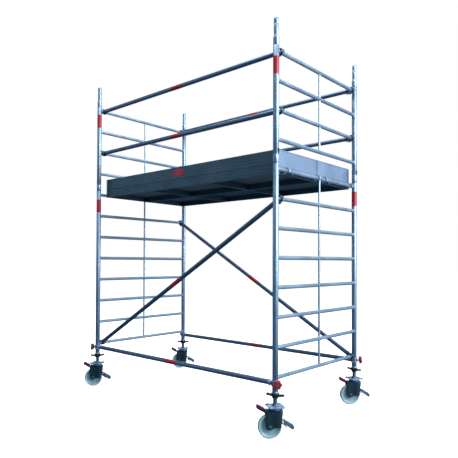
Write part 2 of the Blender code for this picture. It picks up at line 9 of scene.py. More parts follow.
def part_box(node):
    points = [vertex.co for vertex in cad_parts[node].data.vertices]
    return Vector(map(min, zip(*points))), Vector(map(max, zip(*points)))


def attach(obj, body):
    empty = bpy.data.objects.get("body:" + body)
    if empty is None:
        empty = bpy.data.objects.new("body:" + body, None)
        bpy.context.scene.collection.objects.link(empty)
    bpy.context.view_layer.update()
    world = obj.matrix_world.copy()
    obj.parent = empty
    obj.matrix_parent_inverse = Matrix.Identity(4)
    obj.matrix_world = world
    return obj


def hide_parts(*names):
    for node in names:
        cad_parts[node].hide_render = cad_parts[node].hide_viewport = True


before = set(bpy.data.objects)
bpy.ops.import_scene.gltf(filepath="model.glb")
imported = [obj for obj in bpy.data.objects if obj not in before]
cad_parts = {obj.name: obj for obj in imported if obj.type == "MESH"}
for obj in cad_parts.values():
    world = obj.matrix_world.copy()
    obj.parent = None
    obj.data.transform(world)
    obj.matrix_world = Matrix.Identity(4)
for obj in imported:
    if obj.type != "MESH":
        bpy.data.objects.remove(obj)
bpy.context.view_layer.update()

# ---- sizes in metres ----------------------------------------------------------------------------
POST_RADIUS = 0.0254
POST_BORE = 0.0220
SPIGOT_RADIUS = 0.0205
RUNG_RADIUS = 0.0170
STAY_RADIUS = 0.0100
TUBE_RADIUS = 0.0215            # guard rails, diagonals and base braces
RUNG_PITCH = 0.25
FIRST_RUNG_Z = 0.50
LOWER_RUNGS = range(1, 9)
UPPER_RUNGS = range(9, 13)
BRACE_Y = 0.640
DIAGONAL_RUNGS = (1, 7)
GUARD_RUNGS = {"mid": 10, "top": 12}
CLAW_INNER = 0.0190
CLAW_OUTER = 0.0300
CLAW_WIDTH = 0.0450
KNOB_OFFSET = 0.062
KNOB_TURN = math.radians(38)    # a star knob points out past the tower's corner
CLIP_Z = 2.410
DECK_HALF_LENGTH = 1.240
PLATFORM_WIDTH = 0.625
BEAM_Z = (2.2220, 2.2790)
SIDE_BEAM_TOP_Z = 2.3110
TOE_TOP_Z = 2.4340
TOE_THICKNESS = 0.022
TOE_LABEL_Z = 2.375
BEAM_WIDTH = 0.025
BOARD_Z = (2.2793, 2.2913)
CROSS_BEAM_X = 0.42
HOOK_OFFSETS = (0.090, 0.595)
HATCH_X = (0.48, 1.12)
HATCH_Y = (0.120, 0.575)
HATCH_HINGE_Z = 2.2980
CASTOR_HEADING = math.radians(43.5)
TRAIL = 0.046
WHEEL_RADIUS = 0.100
CROWN_Z = 0.238
PEDAL_PIVOT = (-0.020, 0.2095)
BOLT_OFFSET = 0.052             # of the four bolts of a castor's top plate, along both its sides
LABEL_LENGTH = 0.160
POST_LABEL_LENGTH = 0.150
SHARP_ANGLE = math.radians(32)  # edges that turn more than this stay sharp in the shading

frame_low, frame_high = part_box("lower_frame_right")
POST_X = (frame_low.x + frame_high.x) / 2
POST_Y = frame_high.y - POST_RADIUS
POST_FOOT_Z = frame_low.z
JOINT_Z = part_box("upper_frame_right")[0].z
POST_TOP_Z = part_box("upper_frame_right")[1].z - 0.170
BASE_BRACE_Z = sum(corner.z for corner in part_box("star_knob_front_right")) / 2
DECK_EDGES_Y = {"front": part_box("platform_frame_front")[0].y, "back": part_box("platform_frame_back")[0].y}

# corner: side along X, side along Y, turn of the castor's top plate, turn of the adjuster nut
CORNERS = {
    "front_right": (1, -1, math.radians(54), math.radians(18)),
    "front_left": (-1, -1, math.radians(35), math.radians(62)),
    "back_right": (1, 1, math.radians(65), math.radians(-5)),
    "back_left": (-1, 1, math.radians(50), math.radians(40)),
}
CAMERA_LENS = 39.396            # in millimetres, as the sensor is
CAMERA_SENSOR = 36.0
CAMERA_SHIFT = (0.0436, 0.0532)
CAMERA_PLACE = (3.7247, -4.1476, 1.4646)
CAMERA_TURN = (math.pi / 2 + 0.0165, -0.0051, 0.7498)

X, Y, Z = Vector((1, 0, 0)), Vector((0, 1, 0)), Vector((0, 0, 1))
at = Matrix.Translation


def rung_z(number):
    return FIRST_RUNG_Z + RUNG_PITCH * (number - 1)


def knob_direction(side, across):
    """The way a star knob's screw points from its post."""
    return Vector((side * math.cos(KNOB_TURN), across * math.sin(KNOB_TURN), 0))


# ---- mesh making: loose meshes, and the points and matrices that they are made from -------------
def axes(origin, along, up):
    """A matrix that takes +Z to along and +Y near up."""
    z = Vector(along).normalized()
    y = (Vector(up) - z * Vector(up).dot(z)).normalized()
    x = y.cross(z)
    turn = Matrix((x, y, z)).transposed().to_4x4()
    return at(origin) @ turn


UPRIGHT = axes((0, 0, 0), -Y, Z)        # an outline's x and y become X and Z


def mm(*points):
    """Points in metres, from points in millimetres."""
    return [tuple(0.001 * value for value in point) for point in points]


def grid(rows, wrap_rows=False, caps=True):
    """A skin over rows of points. Columns always close on themselves; rows may too, or end in caps."""
    rows = np.asarray(rows, float)
    count, across = rows.shape[:2]
    spans = np.linalg.norm(np.diff(np.concatenate([rows, rows[:1]]), axis=0), axis=2).mean(1)
    along = np.concatenate([[0], np.cumsum(spans)])
    widths = np.linalg.norm(np.diff(np.concatenate([rows, rows[:, :1]], axis=1), axis=1), axis=2).max(0)
    over = np.concatenate([[0], np.cumsum(widths)])
    faces, uvs = [], []
    for i in range(count if wrap_rows else count - 1):
        k = (i + 1) % count
        for j in range(across):
            m = (j + 1) % across
            faces.append((i * across + j, i * across + m, k * across + m, k * across + j))
            uvs += [(along[i], over[j]), (along[i], over[j + 1])]
            uvs += [(along[i + 1], over[j + 1]), (along[i + 1], over[j])]
    if caps and not wrap_rows:
        faces.append(tuple(reversed(range(across))))
        faces.append(tuple((count - 1) * across + j for j in range(across)))
        uvs += [(0, over[across - 1 - j]) for j in range(across)]
        uvs += [(along[count - 1], over[j]) for j in range(across)]
    mesh = bpy.data.meshes.new("grid")
    mesh.from_pydata(rows.reshape(-1, 3).tolist(), [], faces)
    layer = mesh.uv_layers.new(name="Grain")
    layer.data.foreach_set("uv", np.array(uvs, np.float32).ravel())
    return mesh


def opened(mesh):
    """A bmesh that holds the mesh."""
    shape = bmesh.new()
    shape.from_mesh(mesh)
    return shape


def cleaned(shape):
    """A mesh from a bmesh, which is freed, with doubled points welded and faces turned outwards."""
    bmesh.ops.remove_doubles(shape, verts=shape.verts, dist=1e-6)
    bmesh.ops.recalc_face_normals(shape, faces=shape.faces)
    mesh = bpy.data.meshes.new("shape")
    shape.to_mesh(mesh)
    shape.free()
    return mesh


def moved(mesh, place):
    """A copy of the mesh at another place."""
    copy = mesh.copy()
    copy.transform(place)
    if place.determinant() < 0:
        copy.flip_normals()
    return copy


def box_uv(mesh, grain):
    """A UV map for a mesh without one: the grain axis gives U where it can, and another axis gives V."""
    layer = mesh.uv_layers.new(name="Grain")
    for face in mesh.polygons:
        normal = [abs(v) for v in face.normal]
        flat = normal.index(max(normal))
        u = grain if grain != flat else (flat + 1) % 3
        v = 3 - flat - u
        for loop in face.loop_indices:
            point = mesh.vertices[mesh.loops[loop].vertex_index].co
            layer.data[loop].uv = (point[u], point[v])


def joined(meshes, grain=0):
    """One mesh from several."""
    shape = bmesh.new()
    for mesh in meshes:
        if not mesh.uv_layers:
            box_uv(mesh, grain)
        shape.from_mesh(mesh)
    mesh = bpy.data.meshes.new("joined")
    shape.to_mesh(mesh)
    shape.free()
    return mesh


def turns(sides):
    """Even angles round a circle."""
    return 2 * math.pi * np.arange(sides) / sides


def level(radii, angles, heights):
    """Points round the Z axis."""
    radii, heights = (np.broadcast_to(value, angles.shape) for value in (radii, heights))
    return np.stack([radii * np.cos(angles), radii * np.sin(angles), heights], 1)


def rectangle(x0, y0, x1, y1):
    return [(x0, y0), (x1, y0), (x1, y1), (x0, y1)]


def circle(radius, sides):
    return level(radius, turns(sides), 0)[:, :2]


def ribbed(radius, ribs, depth):
    """A round section with shallow ribs along it, four points to each."""
    wave = np.array([0.0, 1.0, 1.0, 0.0])
    return level(radius - depth + depth * np.tile(wave, ribs), turns(4 * ribs), 0)[:, :2]


def rounded(width, height, radius, steps=3):
    """A rectangle with rounded corners and its middle at the origin: width along x, height along y."""
    points = []
    for sx, sy, start in ((1, 1, 0), (-1, 1, 90), (-1, -1, 180), (1, -1, 270)):
        centre = (sx * (width / 2 - radius), sy * (height / 2 - radius))
        points += arc(centre, radius, start, start + 90, steps)
    return np.array(points)


def loft(place, stations):
    """Sections set up along the Z axis of place: stations are (height, section)."""
    rows = [np.concatenate([section, np.full((len(section), 1), height)], 1) for height, section in stations]
    mesh = grid(rows)
    mesh.transform(place)
    return mesh


def bar(start, end, section, chamfer=0.0006):
    """A straight bar with chamfered ends. Both ends of a rung or rail are covered, so it needs no bore."""
    start, end = Vector(start), Vector(end)
    length = (end - start).length
    place = axes(start, end - start, Z if abs((end - start).normalized().z) < 0.9 else Y)
    small = section * (1 - chamfer / np.abs(section).max())
    return loft(place, [(0, small), (chamfer, section), (length - chamfer, section), (length, small)])


def lathe(profile, steps, place=Matrix.Identity(4), closed=False):
    """A turned shape from (radius, height) or (radius, height, lobe depth, lobes), bottom to top outside."""
    angles = turns(steps)
    rows = []
    for radius, height, *lobe in profile:
        rows.append(level(radius + (lobe[0] * np.cos(lobe[1] * angles) if lobe else 0), angles, height))
    mesh = cleaned(opened(grid(rows, closed)))
    mesh.transform(place)
    return mesh


def sweep(path, section, up=Z, closed=False, scales=None):
    """A section carried along a path. up may be one vector or one for each point."""
    path = [Vector(p) for p in path]
    count = len(path)
    rows = []
    for i, point in enumerate(path):
        before = path[i - 1] if closed or i else point
        after = path[(i + 1) % count] if closed or i < count - 1 else point
        along = (after - before).normalized()
        lift = up[i] if isinstance(up, list) else up
        y = (lift - along * lift.dot(along)).normalized()
        x = y.cross(along)
        scale = 1 if scales is None else scales[i]
        rows.append([point + x * (a * scale) + y * (b * scale) for a, b in section])
    return grid(rows, closed)


def evaluated_mesh(obj):
    """The mesh of an object with its modifiers applied; the object is removed."""
    bpy.context.scene.collection.objects.link(obj)
    bpy.context.view_layer.update()
    mesh = bpy.data.meshes.new_from_object(obj.evaluated_get(bpy.context.evaluated_depsgraph_get()))
    bpy.data.objects.remove(obj, do_unlink=True)
    return cleaned(opened(mesh))


def plate(outlines, thickness, bevel=0.0008, place=Matrix.Identity(4), steps=1):
    """A flat plate with rounded edges on an outline in the XY plane; further outlines are holes in it."""
    curve = bpy.data.curves.new("outline", "CURVE")
    curve.dimensions = "2D"
    curve.fill_mode = "BOTH"
    curve.extrude = thickness / 2 - bevel
    curve.bevel_depth = bevel
    curve.bevel_resolution = steps
    curve.offset = -bevel
    for outline in outlines:
        spline = curve.splines.new("POLY")
        spline.points.add(len(outline) - 1)
        for point, (x, y) in zip(spline.points, outline):
            point.co = (x, y, 0.0, 1.0)
        spline.use_cyclic_u = True
    mesh = evaluated_mesh(bpy.data.objects.new("outline", curve))
    while mesh.uv_layers:
        mesh.uv_layers.remove(mesh.uv_layers[0])
    mesh.transform(place)
    return mesh


def block(low, high, bevel):
    """A box between two corners with rounded edges."""
    low, high = Vector(low), Vector(high)
    shape = bmesh.new()
    bmesh.ops.create_cube(shape, size=1.0)
    shape.transform(at((low + high) / 2) @ Matrix.Diagonal((*(high - low), 1.0)))
    bmesh.ops.bevel(shape, geom=shape.edges[:], offset=bevel, segments=2, affect="EDGES", profile=0.5)
    return cleaned(shape)


def softened(mesh, width, angle):
    """Edges of a mesh that are sharper than an angle in degrees, rounded off."""
    shape = opened(mesh)
    limit = math.radians(angle)
    sharp = [e for e in shape.edges if len(e.link_faces) == 2 and e.calc_face_angle() > limit]
    bmesh.ops.bevel(shape, geom=sharp, offset=width, segments=2, affect="EDGES", profile=0.5)
    return cleaned(shape)


def hexagon(radius, height, place, bore=0.0):
    """A bolt head or nut with chamfered corners, standing on the XY plane of place."""
    angles = turns(24)
    apothem = radius * math.cos(math.pi / 6)
    radii = apothem / np.cos((angles + math.pi / 6) % (math.pi / 3) - math.pi / 6)
    chamfer = (radii - 0.94 * apothem) * 0.45
    outline = [(bore, 0), (radii, 0), (radii, height - chamfer), (0.93 * apothem, height), (bore, height)]
    rows = [level(radius, angles, z) for radius, z in outline]
    mesh = cleaned(opened(grid(rows, wrap_rows=bore > 0, caps=False)))
    mesh.transform(place)
    return mesh


def rivet(point, face, up, radius=0.0045, height=0.0022):
    """A domed rivet head on a point, facing one way."""
    profile = [(0, -0.0006), (radius, -0.0006), (radius, 0.0002)]
    profile += [(radius * math.cos(a), height * math.sin(a)) for a in np.radians([25, 50, 72])]
    profile.append((0, height))
    return lathe(profile, 14, axes(point, face, up))


def washer(radius, bore, thickness, place):
    """A flat ring with its outer edges broken, standing on the XY plane of place."""
    edge = thickness * 0.25
    profile = [(bore, 0), (radius - edge, 0), (radius, edge), (radius, thickness - edge)]
    profile += [(radius - edge, thickness), (bore, thickness)]
    return lathe(profile, 24, place, closed=True)


def bead(centre, big_axis, big_radius, small_axis, small_radius, size=0.0028, phase=0.0):
    """A rippled weld bead along the saddle curve where a small tube meets a big one."""
    b, d = Vector(big_axis), Vector(small_axis)
    c = b.cross(d)
    path, ups, scales = [], [], []
    for i in range(60):
        t = 2 * math.pi * i / 60
        across = small_radius * math.sin(t)
        radial = b * math.cos(t) + c * math.sin(t)
        out = math.sqrt(max(big_radius ** 2 - across ** 2, 0))
        lift = 0.25 * size
        path.append(Vector(centre) + radial * (small_radius + lift) + d * (out + lift))
        ups.append(radial)
        scales.append(1 + 0.14 * math.cos(20 * t + phase) + 0.10 * math.sin(3 * t + 2 * phase))
    return sweep(path, circle(size, 7), ups, True, scales)


def arc(centre, radius, start, end, steps):
    """Points on an arc, angles in degrees."""
    points = []
    for i in range(steps + 1):
        angle = math.radians(start + (end - start) * i / steps)
        points.append((centre[0] + radius * math.cos(angle), centre[1] + radius * math.sin(angle)))
    return points


def filleted(points, radius, steps=4):
    """A 3D path with its corners rounded."""
    points = [Vector(p) for p in points]
    path = [points[0]]
    for before, corner, after in zip(points, points[1:], points[2:]):
        back, on = (before - corner), (after - corner)
        reach = min(radius, back.length * 0.45, on.length * 0.45)
        start, end = corner + back.normalized() * reach, corner + on.normalized() * reach
        for i in range(steps + 1):
            t = i / steps
            path.append(start * (1 - t) ** 2 + corner * (2 * t * (1 - t)) + end * t ** 2)
    path.append(points[-1])
    return path


def thread(radius, depth, pitch, low, high, sides=28, per_turn=6):
    """A threaded bar along Z."""
    count = int(round((high - low) / pitch * per_turn))
    angles = turns(sides)
    rows = []
    for i in range(count + 1):
        z = low + (high - low) * i / count
        phase = (z / pitch - angles / (2 * math.pi)) % 1.0
        shape = np.clip(2.6 * np.abs(phase - 0.5) - 0.25, 0, 1)
        ease = min(1.0, i / 4, (count - i) / 4)
        radii = radius - depth * (1 - shape * ease)
        rows.append(level(radii, angles, z))
    return grid(rows)


# ---- materials ----------------------------------------------------------------------------------
class Nodes:
    """A material, with short names for the shader nodes that the finishes use."""

    def __init__(self, name):
        self.material = bpy.data.materials.new(name)
        self.material.use_nodes = True
        self.tree = self.material.node_tree
        self.shader = self.tree.nodes["Principled BSDF"]
        coordinates = self.tree.nodes.new("ShaderNodeTexCoord")
        self.grain = coordinates.outputs["UV"]
        self.solid = coordinates.outputs["Object"]

    def new(self, kind, inputs=(), **settings):
        node = self.tree.nodes.new(kind)
        for key, value in settings.items():
            setattr(node, key, value)
        for key, value in dict(inputs).items():
            if isinstance(value, bpy.types.NodeSocket):
                self.tree.links.new(value, node.inputs[key])
            else:
                node.inputs[key].default_value = value
        return node

    def noise(self, vector, scale, detail=3.0, rough=0.55, stretch=None):
        if stretch:
            vector = self.new("ShaderNodeMapping", {"Vector": vector, "Scale": stretch}).outputs[0]
        inputs = {"Vector": vector, "Scale": scale, "Detail": detail, "Roughness": rough}
        return self.new("ShaderNodeTexNoise", inputs).outputs["Fac"]

    def cells(self, vector, scale, output="Distance", **settings):
        inputs = {"Vector": vector, "Scale": scale}
        return self.new("ShaderNodeTexVoronoi", inputs, **settings).outputs[output]

    def ramp(self, value, low, high, to_low=0.0, to_high=1.0):
        inputs = {"Value": value, "From Min": low, "From Max": high, "To Min": to_low, "To Max": to_high}
        return self.new("ShaderNodeMapRange", inputs).outputs["Result"]

    def math(self, operation, a, b):
        return self.new("ShaderNodeMath", {0: a, 1: b}, operation=operation).outputs[0]

    def blend(self, factor, a, b):
        node = self.new("ShaderNodeMix", {"Factor": factor}, data_type="RGBA")
        for socket, value in ((node.inputs[6], a), (node.inputs[7], b)):
            if isinstance(value, bpy.types.NodeSocket):
                self.tree.links.new(value, socket)
            else:
                socket.default_value = (*value, 1.0)
        return node.outputs[2]

    def edges(self):
        """1 on sharp outer edges, 0 elsewhere."""
        return self.ramp(self.new("ShaderNodeNewGeometry").outputs["Pointiness"], 0.52, 0.60)

    def crevice_shade(self):
        """1 in inner corners, 0 elsewhere: the mask of the painted shade that darkens them."""
        return self.ramp(self.new("ShaderNodeNewGeometry").outputs["Pointiness"], 0.42, 0.49, 1.0, 0.0)

    def sum(self, a, b):
        return self.math("ADD", a, b)

    def product(self, a, b):
        return self.math("MULTIPLY", a, b)

    def connect(self, colour, roughness, height, strength, distance):
        bump = self.new("ShaderNodeBump", {"Height": height, "Strength": strength, "Distance": distance})
        self.tree.links.new(bump.outputs[0], self.shader.inputs["Normal"])
        self.tree.links.new(colour, self.shader.inputs["Base Color"])
        self.tree.links.new(roughness, self.shader.inputs["Roughness"])


def metal(name, dark, light, rough, drawn, dull, worn, spangle=0.0, rust=0.0, metallic=1.0, cast=0.0):
    """Drawn, cast or plated metal: streaks along the grain, dull oxide, fine scratches and bright edges."""
    n = Nodes(name)
    n.shader.inputs["Metallic"].default_value = metallic
    clouds = n.noise(n.solid, 5.0, 5.0, 0.6)
    fine = n.noise(n.solid, 60.0, 4.0, 0.6)
    streaks = n.noise(n.grain, 1.0, 4.0, 0.65, stretch=(2.5, 420.0, 1.0))
    scratches = n.noise(n.grain, 1.0, 2.0, 0.5, stretch=(26.0, 900.0, 1.0))
    tone = n.sum(n.ramp(clouds, 0.3, 0.7, 0.0, 1.0 - drawn), n.ramp(streaks, 0.3, 0.7, 0.0, drawn))
    colour = n.blend(tone, dark, light)
    if spangle:
        flakes = n.cells(n.solid, 140.0, "Color")
        grey = n.new("ShaderNodeRGBToBW", {"Color": flakes}).outputs[0]
        colour = n.blend(n.ramp(grey, 0.2, 0.8, 0.0, spangle), colour, worn)
    oxide = n.product(n.ramp(clouds, 0.50, 0.66), n.ramp(fine, 0.42, 0.62))
    colour = n.blend(n.product(oxide, 0.45), colour, dull)
    marks = n.ramp(scratches, 0.66, 0.72)
    colour = n.blend(n.product(marks, 0.5), colour, worn)
    if rust:
        spots = n.product(n.ramp(fine, 0.56, 0.66), n.ramp(clouds, 0.45, 0.6))
        colour = n.blend(n.product(spots, rust), colour, (0.16, 0.065, 0.025))
    # Inner corners blended towards a deep copy of the base colour: painted shade in the crevices.
    colour = n.blend(n.product(n.crevice_shade(), 0.55), colour, tuple(0.25 * c for c in dark))
    colour = n.blend(n.product(n.edges(), 0.6), colour, worn)
    roughness = n.sum(n.ramp(clouds, 0.3, 0.7, rough - 0.06, rough + 0.10), n.product(oxide, 0.15))
    roughness = n.sum(roughness, n.ramp(streaks, 0.3, 0.7, -0.05, 0.05))
    pits = n.noise(n.solid, 700.0 - 450.0 * cast, 3.0, 0.7)
    height = n.sum(n.product(pits, 0.35 + cast), n.product(streaks, 0.7 * drawn))
    height = n.math("SUBTRACT", height, n.product(marks, 0.3))
    n.connect(colour, roughness, height, 0.25 + 0.3 * cast, 0.0006 + 0.0006 * cast)
    return n.material


def plastic(name, dark, light, rough, scuff, subsurface=0.0):
    """Moulded plastic: fine pebbled skin, uneven shade, scuffed edges and painted shade in its inner corners.
    """
    n = Nodes(name)
    clouds = n.noise(n.solid, 9.0, 5.0, 0.6)
    fine = n.noise(n.solid, 90.0, 4.0, 0.6)
    scratches = n.noise(n.solid, 1.0, 3.0, 0.6, stretch=(60.0, 420.0, 160.0))
    colour = n.blend(n.ramp(clouds, 0.3, 0.7), dark, light)
    marks = n.product(n.ramp(scratches, 0.60, 0.72), n.ramp(fine, 0.40, 0.60))
    colour = n.blend(n.product(marks, 0.35), colour, scuff)
    # Inner corners blended towards a deep copy of the base colour: painted shade in the corners.
    colour = n.blend(n.product(n.crevice_shade(), 0.5), colour, tuple(0.35 * c for c in dark))
    colour = n.blend(n.product(n.edges(), 0.35), colour, scuff)
    roughness = n.sum(n.ramp(fine, 0.3, 0.7, rough - 0.06, rough + 0.08), n.product(marks, 0.2))
    pebbles = n.noise(n.solid, 900.0, 3.0, 0.6)
    height = n.sum(n.product(pebbles, 0.4), n.product(marks, -0.4))
    n.connect(colour, roughness, height, 0.25, 0.0004)
    if subsurface:
        n.shader.inputs["Subsurface Weight"].default_value = subsurface
        n.shader.inputs["Subsurface Radius"].default_value = (0.010, 0.010, 0.012)
    return n.material


def deck_ply(name):
    """Faced plywood: dark blue film with a pressed anti-slip mesh, scuffs and raw worn edges."""
    n = Nodes(name)
    clouds = n.noise(n.solid, 3.0, 6.0, 0.62)
    veins = n.noise(n.solid, 1.0, 5.0, 0.6, stretch=(3.0, 60.0, 60.0))
    fine = n.noise(n.solid, 160.0, 3.0, 0.6)
    mesh = n.cells(n.solid, 170.0, "Distance", feature="DISTANCE_TO_EDGE")
    wires = n.ramp(mesh, 0.03, 0.10, 1.0, 0.0)
    colour = n.blend(n.ramp(clouds, 0.3, 0.7), (0.028, 0.070, 0.125), (0.058, 0.108, 0.170))
    colour = n.blend(n.ramp(veins, 0.45, 0.7, 0.0, 0.5), colour, (0.075, 0.105, 0.140))
    colour = n.blend(n.product(wires, 0.35), colour, (0.010, 0.015, 0.020))
    scuffs = n.product(n.ramp(clouds, 0.52, 0.70), n.ramp(fine, 0.45, 0.60))
    colour = n.blend(n.product(scuffs, 0.5), colour, (0.16, 0.17, 0.18))
    colour = n.blend(n.product(n.edges(), 0.6), colour, (0.30, 0.24, 0.17))
    roughness = n.ramp(n.sum(fine, clouds), 0.7, 1.3, 0.45, 0.75)
    height = n.sum(n.product(wires, 1.0), n.product(fine, 0.3))
    n.connect(colour, roughness, height, 0.5, 0.0008)
    return n.material


def label_film(name):
    """Red adhesive film: slightly faded in clouds, with fine creases and scratches."""
    n = Nodes(name)
    clouds = n.noise(n.solid, 26.0, 5.0, 0.6)
    creases = n.cells(n.solid, 90.0, "Distance", feature="DISTANCE_TO_EDGE")
    lines = n.ramp(creases, 0.0, 0.04, 1.0, 0.0)
    scratches = n.ramp(n.noise(n.grain, 1.0, 3.0, 0.6, stretch=(50.0, 700.0, 1.0)), 0.62, 0.72)
    colour = n.blend(n.ramp(clouds, 0.3, 0.7), (0.36, 0.004, 0.022), (0.48, 0.010, 0.040))
    # The recessed crease lines are darkened in the colour: painted shade along the creases.
    colour = n.blend(n.product(lines, 0.12), colour, (0.25, 0.006, 0.02))
    colour = n.blend(n.product(scratches, 0.35), colour, (0.70, 0.30, 0.34))
    roughness = n.ramp(clouds, 0.3, 0.7, 0.30, 0.48)
    height = n.sum(n.product(lines, -0.3), n.product(scratches, -0.3))
    n.connect(colour, roughness, height, 0.2, 0.0003)
    return n.material


METALS = {
    "aluminium_tube": dict(dark=(0.18, 0.31, 0.45), light=(0.36, 0.53, 0.70), rough=0.38, drawn=0.6,
                           dull=(0.13, 0.20, 0.29), worn=(0.62, 0.76, 0.90)),
    # Painted shade: a darker copy of aluminium_tube for the rails, braces and their claws, which face away
    # from the light.
    "brace_tube": dict(dark=(0.018, 0.050, 0.115), light=(0.055, 0.110, 0.215), rough=0.36, drawn=0.6,
                       dull=(0.03, 0.06, 0.11), worn=(0.34, 0.45, 0.60)),
    "cast_aluminium": dict(dark=(0.20, 0.30, 0.43), light=(0.36, 0.48, 0.62), rough=0.42, drawn=0.1,
                           cast=0.6, dull=(0.10, 0.15, 0.20), worn=(0.62, 0.74, 0.86)),
    # Painted shade: a near-black copy of the profile aluminium for the platform beams and long toe boards,
    # whose faces get little light.
    "platform_profile": dict(dark=(0.004, 0.030, 0.058), light=(0.018, 0.060, 0.095), rough=0.46,
                             drawn=0.75, metallic=0.7, worn=(0.10, 0.17, 0.22),
                             dull=(0.022, 0.045, 0.062)),
    # Painted light: a lighter copy of the profile aluminium for the end toe boards and corner strips, which
    # face the key light.
    "end_toe_board": dict(dark=(0.115, 0.195, 0.33), light=(0.17, 0.27, 0.43), rough=0.48, drawn=0.35,
                          dull=(0.09, 0.14, 0.21), worn=(0.38, 0.50, 0.66)),
    "fork_steel": dict(dark=(0.006, 0.030, 0.045), light=(0.016, 0.052, 0.074), rough=0.40, drawn=0.25,
                       metallic=0.6, worn=(0.14, 0.24, 0.32), dull=(0.02, 0.04, 0.05), rust=0.15),
    "galvanised_steel": dict(dark=(0.022, 0.060, 0.105), light=(0.060, 0.125, 0.20), rough=0.48,
                             drawn=0.15, metallic=0.80, spangle=0.22, dull=(0.03, 0.06, 0.09),
                             worn=(0.22, 0.34, 0.46)),
    # Painted light: a lighter, bluer copy of galvanised_steel for the castor top plate, which faces up into
    # the top light.
    "lit_galvanised_plate": dict(dark=(0.13, 0.27, 0.46), light=(0.24, 0.42, 0.64), rough=0.45, drawn=0.10,
                       metallic=0.6, spangle=0.40, dull=(0.10, 0.17, 0.25), worn=(0.48, 0.64, 0.82)),
    "adjuster_iron": dict(dark=(0.012, 0.018, 0.016), light=(0.032, 0.042, 0.038), rough=0.50, drawn=0.0,
                          cast=1.0, metallic=0.7, worn=(0.20, 0.24, 0.24), dull=(0.04, 0.045, 0.04),
                          rust=0.35),
    "pedal_steel": dict(dark=(0.045, 0.055, 0.070), light=(0.11, 0.13, 0.15), rough=0.42, drawn=0.2,
                        rust=0.2, worn=(0.50, 0.55, 0.60), dull=(0.12, 0.12, 0.12)),
}
PLASTICS = {
    "wheel_nylon": dict(dark=(0.22, 0.38, 0.43), light=(0.36, 0.54, 0.60), rough=0.42,
                        scuff=(0.60, 0.72, 0.78), subsurface=0.10),
    "knob_plastic": dict(dark=(0.17, 0.001, 0.012), light=(0.30, 0.003, 0.024), rough=0.42,
                         scuff=(0.45, 0.08, 0.12)),
    "pad_grey": dict(dark=(0.035, 0.085, 0.14), light=(0.075, 0.15, 0.23), rough=0.55,
                     scuff=(0.25, 0.36, 0.46)),
    "pad_red": dict(dark=(0.055, 0.002, 0.030), light=(0.12, 0.005, 0.055), rough=0.50,
                    scuff=(0.28, 0.10, 0.18)),
}
FINISHES = {name: metal(name, **look) for name, look in METALS.items()}
FINISHES.update((name, plastic(name, **look)) for name, look in PLASTICS.items())
FINISHES["deck_panel"] = deck_ply("deck_panel")
FINISHES["label_film"] = label_film("label_film")


def piece(name, body, finish, meshes, nodes=(), place=Matrix.Identity(4), grain=0):
    """One named piece, from a mesh or a list to join, that rides on a body and may replace CAD nodes."""
    mesh = meshes if isinstance(meshes, bpy.types.Mesh) else joined(meshes, grain)
    if not mesh.materials:
        mesh.materials.append(FINISHES[finish])
        mesh.shade_smooth()
        mesh.set_sharp_from_angle(angle=SHARP_ANGLE)
    obj = bpy.data.objects.new(name, mesh)
    bpy.context.scene.collection.objects.link(obj)
    obj.matrix_world = place
    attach(obj, body)
    if nodes:
        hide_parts(*nodes)
    return obj


# ---- end frames ---------------------------------------------------------------------------------
def post(x, y, low, high, marks):
    """A tube with its crimped rings, open at the foot, drawn in at the top round its spigot."""
    bore_top = low + 0.20
    profile = [(POST_BORE, bore_top), (POST_BORE, low + 0.0012), (POST_BORE + 0.0008, low)]
    profile += [(POST_RADIUS - 0.0008, low), (POST_RADIUS, low + 0.0010)]
    for z in marks:
        profile += [(POST_RADIUS, z - 0.0030), (POST_RADIUS - 0.0011, z - 0.0012)]
        profile += [(POST_RADIUS - 0.0011, z + 0.0012), (POST_RADIUS, z + 0.0030)]
    profile += [(POST_RADIUS, high - 0.0012), (POST_RADIUS - 0.0010, high)]
    profile += [(SPIGOT_RADIUS - 0.001, high), (SPIGOT_RADIUS - 0.001, bore_top)]
    return lathe(profile, 40, at((x, y, 0)), closed=True)


def spigot(x, y, low):
    """The inner tube that the next frame goes over, with two swaged rings, a clip hole and a drawn-in tip."""
    r, wall = SPIGOT_RADIUS, SPIGOT_RADIUS - 0.0035
    profile = [(wall, low - 0.02), (r, low - 0.02)]
    for z in (low + 0.018, low + 0.112):
        profile += [(r, z - 0.004), (r - 0.0010, z - 0.0015), (r - 0.0010, z + 0.0015), (r, z + 0.004)]
    profile += [(r, low + 0.150), (r - 0.0016, low + 0.159), (0.0160, low + 0.1685), (0.0150, low + 0.170)]
    profile += [(0.0130, low + 0.169), (0.0130, low + 0.160), (wall, low + 0.150)]
    ring = lathe(profile, 32, at((x, y, 0)), closed=True)
    obj = bpy.data.objects.new("spigot", ring)
    drill = lathe(mm((0, -50), (5.2, -50), (5.2, 50), (0, 50)), 16,
                  axes((x, y, low + 0.050), X, Z))
    cutter = bpy.data.objects.new("drill", drill)
    bpy.context.scene.collection.objects.link(cutter)
    hole = obj.modifiers.new("hole", "BOOLEAN")
    hole.operation = "DIFFERENCE"
    hole.object = cutter
    mesh = evaluated_mesh(obj)
    bpy.data.objects.remove(cutter, do_unlink=True)
    return mesh


